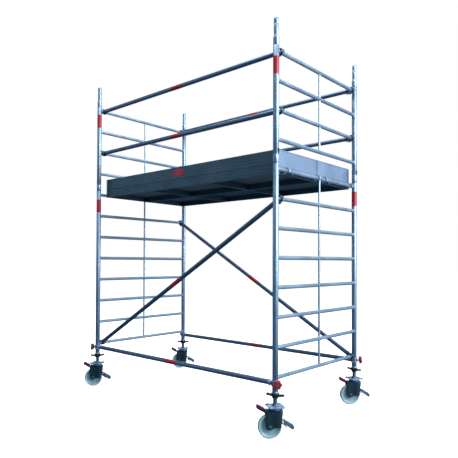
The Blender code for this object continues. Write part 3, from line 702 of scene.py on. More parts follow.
def end_frame(name, side, low, high, rungs, marks):
    """Posts, ribbed rungs, the centre stay, and the weld beads that join them."""
    x = side * POST_X
    parts, welds = [], []
    for y in (-POST_Y, POST_Y):
        inward = -Y if y > 0 else Y
        parts.append(post(x, y, low, high, marks))
        parts.append(spigot(x, y, high))
        for number in rungs:
            welds.append(bead((x, y, rung_z(number)), Z, POST_RADIUS, inward, RUNG_RADIUS, phase=number + y))
        for height in (high - 0.022, high - 0.047):
            for face in (X, -X, inward):
                seat = Vector((x, y, height)) + face * (POST_RADIUS - 0.0003)
                parts.append(rivet(seat, face, Z, 0.0040, 0.0016))
    section = ribbed(RUNG_RADIUS + 0.0002, 26, 0.0006)
    for number in rungs:
        z = rung_z(number)
        parts.append(bar((x, -POST_Y + 0.012, z), (x, POST_Y - 0.012, z), section))
        for y in (-POST_Y + 0.052, POST_Y - 0.052):
            inner, outer = RUNG_RADIUS - 0.001, RUNG_RADIUS + 0.0007
            ring = [(inner, -0.0035), (outer, -0.0025), (outer, 0.0025), (inner, 0.0035)]
            parts.append(lathe(ring, 32, axes((x, y, z), Y, Z), closed=True))
        for up in (Z, -Z):
            if (number, up.z) not in ((rungs[0], -1), (rungs[-1], 1)):
                welds.append(bead((x, 0, z), Y, RUNG_RADIUS, up, STAY_RADIUS, 0.0020, phase=number))
    stay = circle(STAY_RADIUS, 24)
    parts.append(bar((x, 0, rung_z(rungs[0])), (x, 0, rung_z(rungs[-1])), stay))
    piece(name, "tower", "aluminium_tube", parts, [name], grain=2)
    piece(f"{name}_welds", "tower", "cast_aluminium", welds)


def build_frames():
    for side, end in ((1, "right"), (-1, "left")):
        marks = (POST_FOOT_Z + 0.012, JOINT_Z - 0.070)
        end_frame(f"lower_frame_{end}", side, POST_FOOT_Z, JOINT_Z - 0.0003, LOWER_RUNGS, marks)
        marks = (JOINT_Z + 0.009, POST_TOP_Z - 0.070)
        end_frame(f"upper_frame_{end}", side, JOINT_Z, POST_TOP_Z, UPPER_RUNGS, marks)


def build_interlock_clips():
    """Clips: a pin with a domed head, and a sprung strip that hangs from it along the post."""
    for corner, (side, across, _, _) in CORNERS.items():
        x, y = side * POST_X, across * POST_Y
        out = X * side
        face = Vector((x, y, CLIP_Z)) + out * (POST_RADIUS + 0.0004)
        head = mm((0, 0), (10, 0), (10.6, 1.2), (10, 3.2), (7, 5.8), (0, 6.6))
        parts = [lathe(head, 24, axes(face, out, Z))]
        pin = mm((0, -50), (3, -50), (4, -48), (4, 1), (0, 1))
        parts.append(lathe(pin, 16, axes(face, out, Z)))
        drop = [face + out * 0.0045, face + out * 0.0070 - Z * 0.010, face + out * 0.0055 - Z * 0.024]
        drop += [face + out * 0.0030 - Z * 0.032, face + out * 0.0055 - Z * 0.038]
        parts.append(sweep(filleted(drop, 0.006), rounded(0.0085, 0.0022, 0.0008), out))
        body = f"clip_{corner}"
        name = f"interlock_clip_{corner}"
        piece(name, body, "adjuster_iron", parts, [name], grain=2)


# ---- braces and guard rails ---------------------------------------------------------------------
def claw_meshes():
    """The cast claw of a rail's +X end, its rung along Y through the origin: casting, then trigger parts."""
    outline = arc((0, 0), CLAW_OUTER, -8, 90, 9) + arc((0, 0), CLAW_OUTER + 0.0006, 96, 268, 12)
    outline += arc((0, 0), CLAW_INNER, 268, -8, 22)
    hook = plate([outline], CLAW_WIDTH, 0.0018, UPRIGHT)
    rib = arc((0, 0), CLAW_OUTER + 0.0026, 20, 200, 14) + arc((0, 0), CLAW_OUTER - 0.004, 200, 20, 14)
    ribs = [plate([rib], 0.006, 0.0012, axes((0, y, 0), -Y, Z)) for y in (-0.011, 0.011)]
    neck = loft(axes((-CLAW_INNER - 0.004, 0, 0), -X, Z), [
        (0.0, rounded(0.036, 0.034, 0.010, 6)),
        (0.010, rounded(0.038, 0.038, 0.014, 6)),
        (0.018, rounded(0.0425, 0.0425, 0.0205, 6)),
        (0.026, rounded(0.0455, 0.0455, 0.0226, 6)),
        (0.034, rounded(0.0455, 0.0455, 0.0226, 6)),
        (0.036, rounded(0.0435, 0.0435, 0.0216, 6)),
    ])
    collar_rivets = []
    for turn in (0, 90, 180, 270):
        out = Matrix.Rotation(math.radians(turn), 4, "X") @ Z
        collar_rivets.append(rivet(Vector((-0.075, 0, 0)) + out * (TUBE_RADIUS - 0.0002), out, X, 0.0048))
    casting = joined([hook, *ribs, neck, *collar_rivets])

    jaw = arc((0, 0), 0.0285, 276, 352, 8) + arc((0, 0), CLAW_INNER + 0.0006, 352, 272, 8)
    jaw += mm((-6, -21.5), (-30, -27), (-58, -28.5), (-60, -32.5), (-30, -33), (-4, -30))
    lever = plate([jaw], 0.014, 0.0012, UPRIGHT)
    ears = []
    for y in (-0.0095, 0.0095):
        ear = mm((-34, -18), (-14, -18), (-12, -33), (-18, -36.5), (-26, -36.5), (-30, -33))
        ears.append(plate([ear], 0.0030, 0.0006, axes((0, y, 0), -Y, Z)))
    pin = lathe(mm((0, -13.5), (3, -13.5), (3.2, -11.5), (3.2, 11.5), (3, 13.5), (0, 13.5)),
                14, axes((-0.021, 0, -0.0300), Y, Z))
    trigger = joined([lever, *ears, pin])
    return casting, trigger


def grooved(radius):
    """A tube's round section with a shallow groove on each of four sides."""
    points = []
    for i in range(80):
        angle = 2 * math.pi * i / 80
        offset = abs((angle + math.pi / 4) % (math.pi / 2) - math.pi / 4)
        dip = 0.0009 * max(0.0, 1 - (offset / 0.08) ** 2)
        points.append(((radius - dip) * math.cos(angle), (radius - dip) * math.sin(angle)))
    return np.array(points)


def rail(name, y, left_z, right_z, claws):
    """A tube between two rungs, with a claw and its trigger at each end and a label in the middle."""
    left, right = Vector((-POST_X, y, left_z)), Vector((POST_X, y, right_z))
    along = (right - left).normalized()
    tilt = -math.atan2(right_z - left_z, 2 * POST_X)
    reach = CLAW_INNER + 0.036
    parts = [bar(left + along * reach, right - along * reach, grooved(TUBE_RADIUS))]
    casting, trigger = claws
    castings, triggers = [], []
    for end, mirror in ((left, -1), (right, 1)):
        place = at(end) @ Matrix.Rotation(tilt, 4, "Y") @ Matrix.Diagonal((mirror, 1, 1, 1))
        castings.append(moved(casting, place))
        triggers.append(moved(trigger, place))
    # Tube and claws take the darker copy of the tube aluminium: painted shade.
    piece(name, "tower", "brace_tube", parts, [name])
    piece(f"{name}_claws", "tower", "brace_tube", castings)
    piece(f"{name}_triggers", "tower", "adjuster_iron", triggers)
    middle = (left + right) / 2
    band(f"{name}_label", middle, along, TUBE_RADIUS + 0.0002, LABEL_LENGTH)


def band(name, middle, along, radius, length):
    """A label wrapped round a tube, with its lap on the side away from the front."""
    angles = np.radians(np.linspace(-166, 166, 42))
    outer = np.stack([(radius + 0.0004) * np.sin(angles), -(radius + 0.0004) * np.cos(angles)], 1)
    inner = np.stack([radius * np.sin(angles), -radius * np.cos(angles)], 1)[::-1]
    section = np.concatenate([outer, inner])
    place = axes(middle - along * length / 2, along, Y)
    mesh = loft(place, [(0, section), (length, section)])
    piece(name, "tower", "label_film", [mesh])


def build_rails():
    claws = claw_meshes()
    for label, y in (("front", -BRACE_Y), ("back", BRACE_Y)):
        for height, rung in GUARD_RUNGS.items():
            rail(f"{height}_guard_rail_{label}", y, rung_z(rung), rung_z(rung), claws)
    low, high = (rung_z(number) for number in DIAGONAL_RUNGS)
    rail("diagonal_brace_front", -BRACE_Y, low, high, claws)
    rail("diagonal_brace_back", BRACE_Y, high, low, claws)


def build_base_braces():
    """Tubes with a hinged cast coupler round the post at each end."""
    for label, across in (("front", -1), ("back", 1)):
        y, z = across * POST_Y, BASE_BRACE_Z
        name = f"base_brace_{label}"
        tubes = [bar((-POST_X + 0.036, y, z), (POST_X - 0.036, y, z), grooved(TUBE_RADIUS))]
        castings = []
        for side in (-1, 1):
            x = side * POST_X
            inner, outer, half = 0.0262, 0.0335, 0.0225
            lip, waist = outer + 0.0005, outer - 0.0015
            lower = [(inner, -half + 0.001), (inner + 0.001, -half), (outer - 0.0005, -half)]
            lower += [(lip, -half + 0.0015), (lip, -half + 0.006), (waist, -half + 0.0085)]
            ring = lower + [(radius, -height) for radius, height in reversed(lower)]
            castings.append(lathe(ring, 40, at((x, y, z)), closed=True))
            socket = loft(axes((x - side * 0.030, y, z), -X * side, Z), [
                (0.0, rounded(0.040, 0.040, 0.016, 6)),
                (0.012, rounded(0.046, 0.044, 0.020, 6)),
                (0.038, rounded(0.0465, 0.0465, 0.0231, 6)),
                (0.041, rounded(0.0440, 0.0440, 0.0218, 6)),
            ])
            castings.append(socket)
            boss = mm((6.8, 0), (15, 0), (13.5, 6), (12.5, 13.5), (11.5, 14.5), (6.8, 14.5))
            out = knob_direction(side, across)
            castings.append(lathe(boss, 28, axes(Vector((x, y, z)) + out * 0.0275, out, Z), closed=True))
            for face in (-1, 1):
                hinge = Vector((x, y + face * 0.0345, z))
                knuckle = mm((0, -20), (5.2, -20), (6, -19), (6, -7.5), (5.2, -7), (5.2, 7), (6, 7.5),
                             (6, 19), (5.2, 20), (0, 20))
                castings.append(lathe(knuckle, 18, at(hinge)))
                castings.append(hexagon(0.0062, 0.0036, at(hinge + Z * 0.0200)))
            for up in (Z, -Z):
                castings.append(rivet(Vector((x - side * 0.058, y, z)) + up * 0.0230, up, X, 0.0048))
            latch = mm((0, 12.5), (-6, 11), (-7, 4), (-4, -14), (0, -18), (6, -18), (6.2, -15), (2, -12),
                       (5, 4), (5, 10.5))
            for face in (-1, 1):
                hang = Vector((x - side * 0.046, y + face * 0.0236, z - 0.0100))
                castings.append(plate([latch], 0.0026, 0.0006, axes(hang, -Y, Z)))
                seat = hang + Y * (face * 0.0012) + Z * 0.0040
                castings.append(rivet(seat, Y * face, Z, 0.0042, 0.0020))
        # The brace tube takes the darker copy of the tube aluminium: painted shade.
        piece(name, "tower", "brace_tube", tubes, [name])
        piece(f"{name}_couplers", "tower", "cast_aluminium", castings)
        band(f"{name}_label", Vector((0, y, z)), X, TUBE_RADIUS + 0.0002, LABEL_LENGTH)


def build_star_knobs():
    """Six-lobed hand knobs on threaded screws."""
    lobes = 6
    crown = mm((0, -16.5), (10, -16.5), (12.2, -15), (12.8, -12.5))
    lobed = mm((20, -12, 0.8), (31, -11.2, 2.6), (35.6, -8, 3.6), (37.2, -2, 4))
    lobed += mm((37.2, 4, 4), (35.6, 9.8, 3.6), (31, 13, 2.6), (20, 13.8, 0.8))
    crown += [(*point, lobes) for point in lobed]
    crown += mm((12.8, 13.8), (11.2, 12.4), (6, 11.8), (0, 11.8))
    knob = lathe(crown, 72)
    screw = joined([
        thread(0.0060, 0.0007, 0.0016, -0.0340, -0.0160, 18, 5),
        hexagon(0.0070, 0.0030, at((0, 0, 0.0112)), 0.003),
    ])
    for corner, (side, across, _, _) in CORNERS.items():
        out = knob_direction(side, across)
        place = axes(Vector((side * POST_X, across * POST_Y, BASE_BRACE_Z)) + out * KNOB_OFFSET, out, Z)
        name = f"star_knob_{corner}"
        piece(name, f"knob_{corner}", "knob_plastic", knob, [name], place)
        piece(f"{name}_screw", f"knob_{corner}", "galvanised_steel", screw, (), place)


# ---- platforms and toe boards -------------------------------------------------------------------
def channel(height, width, grooves, depth=0.0010, lip=0.0015):
    """An upright profile section, outer face at +x, with shallow grooves at shares of its height."""
    half, side = height / 2, width / 2
    face = [(side - lip, -half), (side, -half + lip)]
    for share in grooves:
        y = -half + share * height
        face += [(side, y - 0.0016), (side - depth, y - 0.0007)]
        face += [(side - depth, y + 0.0007), (side, y + 0.0016)]
    face += [(side, half - lip), (side - lip, half)]
    face += [(-side + lip, half), (-side, half - lip), (-side, -half + lip), (-side + lip, -half)]
    return np.array(face)


def profile(along, start, end, centre, z0, z1, outward, width, grooves):
    """A profile from start to end along X or Y, its grooved face towards outward (+1 or -1) across it."""
    section = channel(z1 - z0, width, grooves)
    across = (Y if along == X else X) * outward
    turn = Matrix((across, Z, along)).transposed().to_4x4()
    mesh = loft(turn, [(0, section), (end - start, section)])
    mesh.transform(at(along * start + across * (centre * outward) + Z * ((z0 + z1) / 2)))
    if turn.determinant() < 0:
        mesh.flip_normals()
    return mesh


def platform_hook():
    """A cast hook over a rung at the origin, from a platform that lies towards -X."""
    outline = arc((0, 0), 0.0282, -20, 150, 16)
    outline += mm((-40, 15), (-45.5, 10), (-45.5, -20), (-20, -20))
    outline += arc((0, 0), 0.0186, 186, -20, 20)
    hook = plate([outline], 0.036, 0.0016, UPRIGHT)
    rib = arc((0, 0), 0.0310, 0, 140, 12) + arc((0, 0), 0.0240, 140, 0, 12)
    parts = [hook, plate([rib], 0.0070, 0.0014, UPRIGHT)]
    foot = mm((-60, -21), (-60, 12), (-52, 15), (-40, 15), (-34, -21))
    parts.append(plate([foot], 0.050, 0.0014, UPRIGHT))
    for y in (-0.019, 0.019):
        parts.append(rivet((-0.047, y, 0.0148), Z, X, 0.0042, 0.0020))
    return joined(parts)


def build_platforms():
    """Two beams along, four across and four hooks for each platform, then the decks."""
    hook = platform_hook()
    length = DECK_HALF_LENGTH
    for label, edge in DECK_EDGES_Y.items():
        name = f"platform_frame_{label}"
        outer_low = label == "front"
        far = edge + PLATFORM_WIDTH
        tops = (SIDE_BEAM_TOP_Z, BEAM_Z[1]) if outer_low else (BEAM_Z[1], SIDE_BEAM_TOP_Z)
        parts, bright = [], []
        grooves = (0.10, 0.32, 0.64, 0.92)
        beam_lines = (edge + BEAM_WIDTH / 2, far - BEAM_WIDTH / 2)
        for y, top, outward in zip(beam_lines, tops, (-1, 1)):
            parts.append(profile(X, -length, length, y, BEAM_Z[0], top, outward, BEAM_WIDTH, grooves))
        inner = (edge + BEAM_WIDTH - 0.001, far - BEAM_WIDTH + 0.001)
        for side in (-1, 1):
            x = side * (length - BEAM_WIDTH / 2)
            parts.append(profile(Y, *inner, x, BEAM_Z[0] + 0.001, BEAM_Z[1], side, BEAM_WIDTH, (0.2, 0.8)))
            for y in (inner[0] + 0.030, inner[0] + 0.050, inner[1] - 0.030, inner[1] - 0.050):
                bright.append(rivet((x, y, BEAM_Z[0] + 0.0012), -Z, X, 0.0050, 0.0022))
        for x in (-CROSS_BEAM_X, CROSS_BEAM_X):
            parts.append(profile(Y, *inner, x, BEAM_Z[0] + 0.003, BEAM_Z[1], 1, BEAM_WIDTH, (0.25, 0.75)))
            low_corner = (x - 0.022, inner[0], BEAM_Z[0] + 0.0005)
            parts.append(block(low_corner, (x + 0.022, inner[1], BEAM_Z[0] + 0.0040), 0.0008))
        for side in (-1, 1):
            for offset in HOOK_OFFSETS:
                on_rung = at((side * POST_X, edge + offset, rung_z(8)))
                bright.append(moved(hook, on_rung @ Matrix.Diagonal((side, 1, 1, 1))))
        for x in np.linspace(-length + 0.12, length - 0.12, 11):
            for y in beam_lines:
                bright.append(rivet((x, y, BEAM_Z[0] + 0.0002), -Z, X, 0.0040, 0.0018))
        # The frame takes the near-black copy of the profile aluminium: painted shade.
        piece(name, "tower", "platform_profile", parts, [name])
        piece(f"{name}_castings", "tower", "cast_aluminium", bright)
    build_deck_boards()


def build_deck_boards():
    """The boards between the beams, the back one with its hatchway, and their rivets."""
    low, high = BOARD_Z
    length = DECK_HALF_LENGTH - 0.0223
    lip = BEAM_WIDTH + 0.0003
    front, back = DECK_EDGES_Y["front"], DECK_EDGES_Y["back"]
    outline = rectangle(-length, front + lip, length, front + PLATFORM_WIDTH)
    middle = at((0, 0, (low + high) / 2))
    boards = {"front": ([outline], front + lip, front + PLATFORM_WIDTH)}
    outline = rectangle(-length, back, length, back + PLATFORM_WIDTH - lip)
    x0, x1, y0, y1 = HATCH_X[0] - 0.004, HATCH_X[1] + 0.004, HATCH_Y[0] - 0.004, HATCH_Y[1] + 0.004
    hole = [(x0, y0), (x0, y1), (x1, y1), (x1, y0)]
    boards["back"] = ([outline, hole], back, back + PLATFORM_WIDTH - lip)
    for label, (outlines, y0, y1) in boards.items():
        name = f"deck_board_{label}"
        board = plate(outlines, high - low, 0.0008, middle)
        piece(name, "tower", "deck_panel", [board], [name])
        screws = []
        for x in np.linspace(-length + 0.04, length - 0.04, 15):
            for y in (y0 + 0.013, y1 - 0.013):
                screws.append(rivet((x, y, high - 0.0004), Z, X, 0.0052, 0.0014))
        piece(f"{name}_rivets", "tower", "cast_aluminium", screws)


def build_hatch():
    """The lift-up panel with its edge strips and hinge leaves, its hinge pin, and its catch."""
    low, high = BOARD_Z
    x0, x1 = HATCH_X
    y0, hinge_y = HATCH_Y
    catch = ((x0 + x1) / 2, y0 + 0.05)
    hole = arc(catch, 0.0092, 0, -345, 23)
    outline = rectangle(x0, y0, x1, hinge_y - 0.006)
    panel = plate([outline, hole], high - low, 0.0008, at((0, 0, (low + high) / 2)))
    piece("hatch", "hatch", "deck_panel", [panel], ["hatch"])
    trim = []
    for left, right, far in (
        (x0 + 0.002, x0 + 0.020, hinge_y - 0.050),
        (x1 - 0.020, x1 - 0.002, hinge_y - 0.050),
        (x0 + 0.020, x1 - 0.020, y0 + 0.020),
    ):
        trim.append(block((left, y0 + 0.002, high - 0.0002), (right, far, high + 0.0012), 0.0005))
    for y in np.linspace(y0 + 0.05, hinge_y - 0.09, 5):
        for x in (x0 + 0.011, x1 - 0.011):
            trim.append(rivet((x, y, high + 0.0010), Z, X, 0.0040, 0.0014))
    for x in np.linspace(x0 + 0.06, x1 - 0.06, 6):
        trim.append(rivet((x, y0 + 0.011, high + 0.0010), Z, X, 0.0040, 0.0014))
    for x in (x0 + 0.10, x1 - 0.10):
        leaf = rectangle(x - 0.03, hinge_y - 0.045, x + 0.03, hinge_y - 0.003)
        trim.append(plate([leaf], 0.0030, 0.0006, at((0, 0, high + 0.0014))))
        barrel = mm((3.2, -30), (5.6, -30), (6, -29.5), (6, 29.5), (5.6, 30), (3.2, 30))
        trim.append(lathe(barrel, 18, axes((x, hinge_y, HATCH_HINGE_Z), X, Z), closed=True))
        for dx in (-0.018, 0.018):
            trim.append(rivet((x + dx, hinge_y - 0.028, high + 0.0026), Z, X, 0.0040, 0.0016))
    piece("hatch_trim", "hatch", "galvanised_steel", trim)

    pin = mm((0, -285), (2.4, -285), (3, -283), (3, 283), (2.4, 285), (0, 285))
    parts = [lathe(pin, 14, axes((catch[0], hinge_y, HATCH_HINGE_Z), X, Z))]
    strap_low = (x0 + 0.04, hinge_y + 0.0108, high + 0.0004)
    parts.append(block(strap_low, (x1 - 0.04, hinge_y + 0.0200, high + 0.0028), 0.0006))
    for x in (x0 + 0.05, x1 - 0.05):
        stand = mm((-4.5, 0.6), (-4.5, 10), (-1.5, 12.2), (2, 12.2), (4.8, 9.5), (6, 3.4), (20, 3),
                   (20, 0.6))
        parts.append(plate([stand], 0.024, 0.0006, axes((x, hinge_y, high), X, Z)))
        parts.append(rivet((x, hinge_y + 0.0150, high + 0.0028), Z, X, 0.0040, 0.0014))
    piece("hatch_hinge_pin", "tower", "galvanised_steel", parts, ["hatch_hinge_pin"])

    place = at((*catch, high + 0.0004))
    cap = mm((0, 0), (21.8, 0), (22.2, 1), (21.8, 3), (19, 3.8), (15, 2.4), (6, 2.4), (0, 2.6))
    parts = [lathe(cap, 36, place)]
    stem = mm((0, -24), (7, -24), (8, -23), (8, 1), (0, 1))
    parts.append(lathe(stem, 24, place))
    grip = mm((-13, 0, 3), (-11, 0, 5.2), (11, 0, 5.2), (13, 0, 3))
    parts.append(moved(sweep(filleted(grip, 0.002), circle(0.0017, 10), Y), place))
    tongue = mm((2, -10), (2, 10), (-60, 10), (-68, 6), (-68, -6), (-60, -10))
    parts.append(plate([tongue], 0.0060, 0.0010, at((*catch, low - 0.009))))
    piece("hatch_catch", "hatch_catch", "galvanised_steel", parts, ["hatch_catch"])


def build_windlocks():
    """Flat pawls with a hole near the tip, each on a shouldered rivet."""
    top = BEAM_Z[0] - 0.0003
    for label, edge in DECK_EDGES_Y.items():
        y = edge + HOOK_OFFSETS[0] + 0.05
        outline = arc((0, 0), 0.014, 90, 270, 12) + arc((0.062, 0), 0.010, -90, 90, 10)
        hole = arc((0.050, 0), 0.0035, 0, -340, 12)
        origin = (DECK_HALF_LENGTH - 0.014, y, top - 0.0025)
        parts = [plate([outline, hole], 0.005, 0.0008, at(origin))]
        boss = mm((0, -11), (6.8, -11), (9, -9.8), (9, -4.8), (11, -4.8), (11, -3), (0, -3))
        parts.append(lathe(boss, 24, at((origin[0], y, top))))
        name = f"windlock_{label}"
        piece(name, name, "galvanised_steel", parts, [name])


def build_toe_boards():
    """Long boards with labels, four end boards with rivets, and strips round the corners."""
    length = DECK_HALF_LENGTH
    low = SIDE_BEAM_TOP_Z + 0.0003
    front = DECK_EDGES_Y["front"]
    back = DECK_EDGES_Y["back"] + PLATFORM_WIDTH
    middle = DECK_EDGES_Y["back"] - 0.005
    corners = []
    for label, face, outward in (("front", front, -1), ("back", back, 1)):
        y = face - outward * (TOE_THICKNESS / 2)
        name = f"toe_board_{label}"
        end, grooves = length - 0.0015, (0.07, 0.30, 0.53, 0.76, 0.94)
        board = profile(X, -end, end, y, low, TOE_TOP_Z, outward, TOE_THICKNESS, grooves)
        # The long boards take the near-black copy of the profile aluminium: painted shade.
        piece(name, "tower", "platform_profile", [board], [name])
        sticker = rounded(0.150, 0.070, 0.004, 3)
        place = axes((0.0, face + outward * 0.0002, TOE_LABEL_Z), Y * outward, Z)
        mark = plate([sticker], 0.0008, 0.0002, place)
        piece(f"{name}_label", "tower", "label_film", [mark])
        for side in (-1, 1):
            x = side * length
            inner = x - side * 0.018
            over, behind = face + outward * 0.0016, face - outward * 0.0215
            edge, past = x - side * 0.0005, x + side * 0.0012
            strip = [(x, over), (inner, over), (inner, face), (edge, face)]
            strip += [(edge, behind), (past, behind), (past, over)]
            centre = at((0, 0, (BEAM_Z[0] + TOE_TOP_Z) / 2 + 0.001))
            corners.append(plate([strip], TOE_TOP_Z - BEAM_Z[0] - 0.001, 0.0003, centre))
            for z in (2.245, 2.290, 2.335, 2.410):
                seat = (x - side * 0.009, face + outward * 0.0014, z)
                corners.append(rivet(seat, Y * outward, Z, 0.0036, 0.0014))
    spans = {
        "front": (front + BEAM_WIDTH + 0.0003, middle - 0.005),
        "back": (middle + 0.005, back - BEAM_WIDTH - 0.0003),
    }
    for side, end in ((1, "right"), (-1, "left")):
        for label, (y0, y1) in spans.items():
            name = f"toe_board_{end}_{label}"
            x, foot = side * (length - TOE_THICKNESS / 2), BEAM_Z[1] + 0.0003
            board = profile(Y, y0, y1, x, foot, TOE_TOP_Z, side, TOE_THICKNESS, (0.06, 0.94))
            extras = []
            for y in (y0 + 0.035, y1 - 0.035):
                for z in (2.310, 2.405):
                    extras.append(rivet((side * (length - 0.0002), y, z), X * side, Z, 0.0042, 0.0016))
            # End boards and corner strips take the lighter copy of the profile aluminium: painted light.
            piece(name, "tower", "end_toe_board", [board, *extras], [name], grain=1)
    piece("toe_board_corner_strips", "tower", "end_toe_board", corners, grain=2)


# ---- castors and adjustable legs ----------------------------------------------------------------
def wheel_shape():
    """A solid nylon wheel: hub, ringed dish, rim with a parting line and rounded shoulders."""
    r = WHEEL_RADIUS
    half = mm((7.8, 28.5), (10, 28.8), (21.5, 28.8), (24.5, 27.8), (26.8, 24), (29, 15), (33, 11.8),
              (40, 10.8), (52, 10.2), (53, 11), (54.5, 11), (55.5, 10.1), (70, 11), (76, 13.5), (81, 19),
              (84.5, 22.5), (88, 23.8), (93.5, 23.6))
    half += [(0.0968, 0.0212), (0.0988, 0.0165), (r - 0.0003, 0.0090), (r, 0.0012)]
    profile = [(radius, -height) for radius, height in half] + [(r + 0.0002, 0.0)]
    profile += [(radius, height) for radius, height in reversed(half)]
    parts = [lathe(profile, 96, closed=True)]
    for face in (-1, 1):
        seal = mm((8, 0), (15, 0), (16, 0.6), (16, 1.6), (14, 2.2), (8, 2.2))
        place = at((0, 0, face * 0.0268)) @ Matrix.Rotation(0 if face > 0 else math.pi, 4, "X")
        parts.append(lathe(seal, 36, place, closed=True))
    return joined(parts)


def fork_shape():
    """A pressed fork: one sheet bent over into two cheeks, with pressed ribs."""
    width, thick, top, bend = 0.0355, 0.0048, CROWN_Z, 0.0100
    foot_line = mm((-84, 120), (-80.5, 104), (-76, 92), (-69, 83), (-60, 78), (-50, 75.5), (-40, 75.8),
                   (-30, 79), (-22, 85), (-17, 93.5), (-10, 94), (15, 94), (48, 94))
    back, front = foot_line[0][0], foot_line[-1][0]
    stations = []
    for x, foot in foot_line:
        outer = [(width, foot)] + arc((width - bend, top - bend), bend, 0, 90, 6)
        outer += arc((-width + bend, top - bend), bend, 90, 180, 6) + [(-width, foot)]
        within = bend - thick
        inner = [(-width + thick, foot)] + arc((-width + bend, top - bend), within, 180, 90, 6)
        inner += arc((width - bend, top - bend), within, 90, 0, 6) + [(width - thick, foot)]
        stations.append((x, np.array(outer + inner)))
    place = Matrix(((0, 0, 1, 0), (1, 0, 0, 0), (0, 1, 0, 0), (0, 0, 0, 1)))
    mesh = loft(place, stations)
    shear, shear_z = 0.014, 0.094
    for vertex in mesh.vertices:
        share = (vertex.co.x - back) / (front - back)
        vertex.co.x += shear * share * max(0.0, vertex.co.z - shear_z) / (top - shear_z)
    parts = [softened(cleaned(opened(mesh)), 0.0009, 40)]
    for face in (-1, 1):
        outward = Y * face
        rib = rounded(0.010, 0.085, 0.0048, 5)
        for x, lean in ((-0.0560, 0.10), (0.0360, -0.08)):
            place = axes((x, face * (width - 0.0004), 0.170), outward, Z)
            parts.append(plate([rib], 0.0032, 0.0014, place @ Matrix.Rotation(lean * face, 4, "Z")))
        boss = mm((0, 0), (20, 0), (19.5, 0.8), (17.5, 1.3), (0, 1.3))
        parts.append(lathe(boss, 32, axes((-TRAIL, face * (width - 0.0004), WHEEL_RADIUS), outward, Z)))
        side = face * (width - 0.0002)
        parts.append(rivet((PEDAL_PIVOT[0], side, PEDAL_PIVOT[1]), outward, Z, 0.0062, 0.0028))
        parts.append(rivet((0.0300, side, 0.2120), outward, Z))
    return joined(parts)


def lower_race_shape():
    profile = mm((9.5, 237.5), (49.5, 237.5), (50.8, 239.2), (50.8, 245.5), (49.8, 247.8), (47, 248.4),
                 (42, 248.4), (40, 247), (9.5, 247))
    return joined([lathe(profile, 56, closed=True)])


def axle_shape():
    """The wheel bolt: washers, chamfered head, lock nut and thread end, along Z with its head at the top."""
    face = 0.0360
    parts = [washer(0.0125, 0.0062, 0.0016, at((0, 0, face)))]
    parts.append(washer(0.0125, 0.0062, 0.0016, at((0, 0, -face - 0.0016))))
    parts.append(hexagon(0.0108, 0.0066, at((0, 0, face + 0.0016))))
    under = at((0, 0, -face - 0.0016)) @ Matrix.Rotation(math.pi, 4, "X")
    parts.append(hexagon(0.0108, 0.0068, under, 0.0055))
    collar = mm((5.5, 6.6), (8.6, 6.6), (8.4, 8.4), (7, 9.2), (5.5, 9.2))
    parts.append(lathe(collar, 24, under, closed=True))
    parts.append(moved(thread(0.0064, 0.0006, 0.0016, 0.0, 0.0120, 18, 5), under))
    shank = mm((0, -36.5), (6.2, -36.5), (6.2, 36.5), (0, 36.5))
    parts.append(lathe(shank, 24))
    return joined(parts)


def pedal_shapes():
    """The see-saw lever, its red pad, its grey pad and the spur below, in the fork's frame."""
    px, pz = PEDAL_PIVOT
    line = [*mm((-148, 248), (-93, 218.5)), (-0.066, pz), (0.040, pz), *mm((55, 160), (130, 112))]
    path = filleted([(x, 0, z) for x, z in line], 0.010, 5)
    parts = [sweep(path, rounded(0.0345, 0.0046, 0.0016, 3), Z)]
    for y in (-0.0150, 0.0150):
        rib = filleted([(x, y, z + 0.0022) for x, z in line[1:5]], 0.010, 4)
        parts.append(sweep(rib, rounded(0.0030, 0.0050, 0.0010, 2), Z))
    pin = mm((0, -34), (3.6, -34), (4, -33), (4, 33), (3.6, 34), (0, 34))
    parts.append(lathe(pin, 16, axes((px, 0, pz), Y, Z)))
    shoe = mm((-26, 0), (26, 0), (24, -4), (-24, -4))
    parts.append(plate([shoe], 0.030, 0.0008, axes((0.0, 0, pz - 0.0024), -Y, Z)))
    lever = joined(parts)

    def pad(outline, ridges):
        """A thick moulded pad with cross ridges standing on its upper face between two points."""
        meshes = [plate([outline], 0.0400, 0.0045, UPRIGHT, 3)]
        start, end, count = ridges
        start, end = Vector((start[0], 0, start[1])), Vector((end[0], 0, end[1]))
        lift = (end - start).cross(Y).normalized()
        lift = lift if lift.z > 0 else -lift
        for i in range(count):
            spot = start.lerp(end, i / (count - 1))
            bump = arc((0, 0), 0.0016, 0, 340, 11)
            meshes.append(plate([bump], 0.0270, 0.0007, axes(spot, -Y, lift)))
        return joined(meshes)

    rear = mm((-88, 224), (-89, 245), (-95, 252), (-139.5, 274.5), (-148.5, 278), (-156.5, 274.5),
              (-160, 265), (-158, 253), (-151.5, 245), (-92.5, 214))
    red = pad(rear, ((-0.1010, 0.2548), (-0.1385, 0.2738), 6))
    front = mm((69, 131), (70, 152), (75.5, 155.5), (143, 117.5), (154, 108.5), (159.5, 97.5),
               (158, 84.5), (149, 76.5), (139, 76.5), (73, 124))
    grey = pad(front, ((0.0840, 0.1508), (0.1405, 0.1190), 7))
    spur = mm((51, 165), (53, 140), (57, 122), (96, 90), (102, 90.5), (101.5, 95.5), (64, 127), (61, 140),
              (59, 162))
    return lever, red, grey, plate([spur], 0.0236, 0.0010, UPRIGHT)


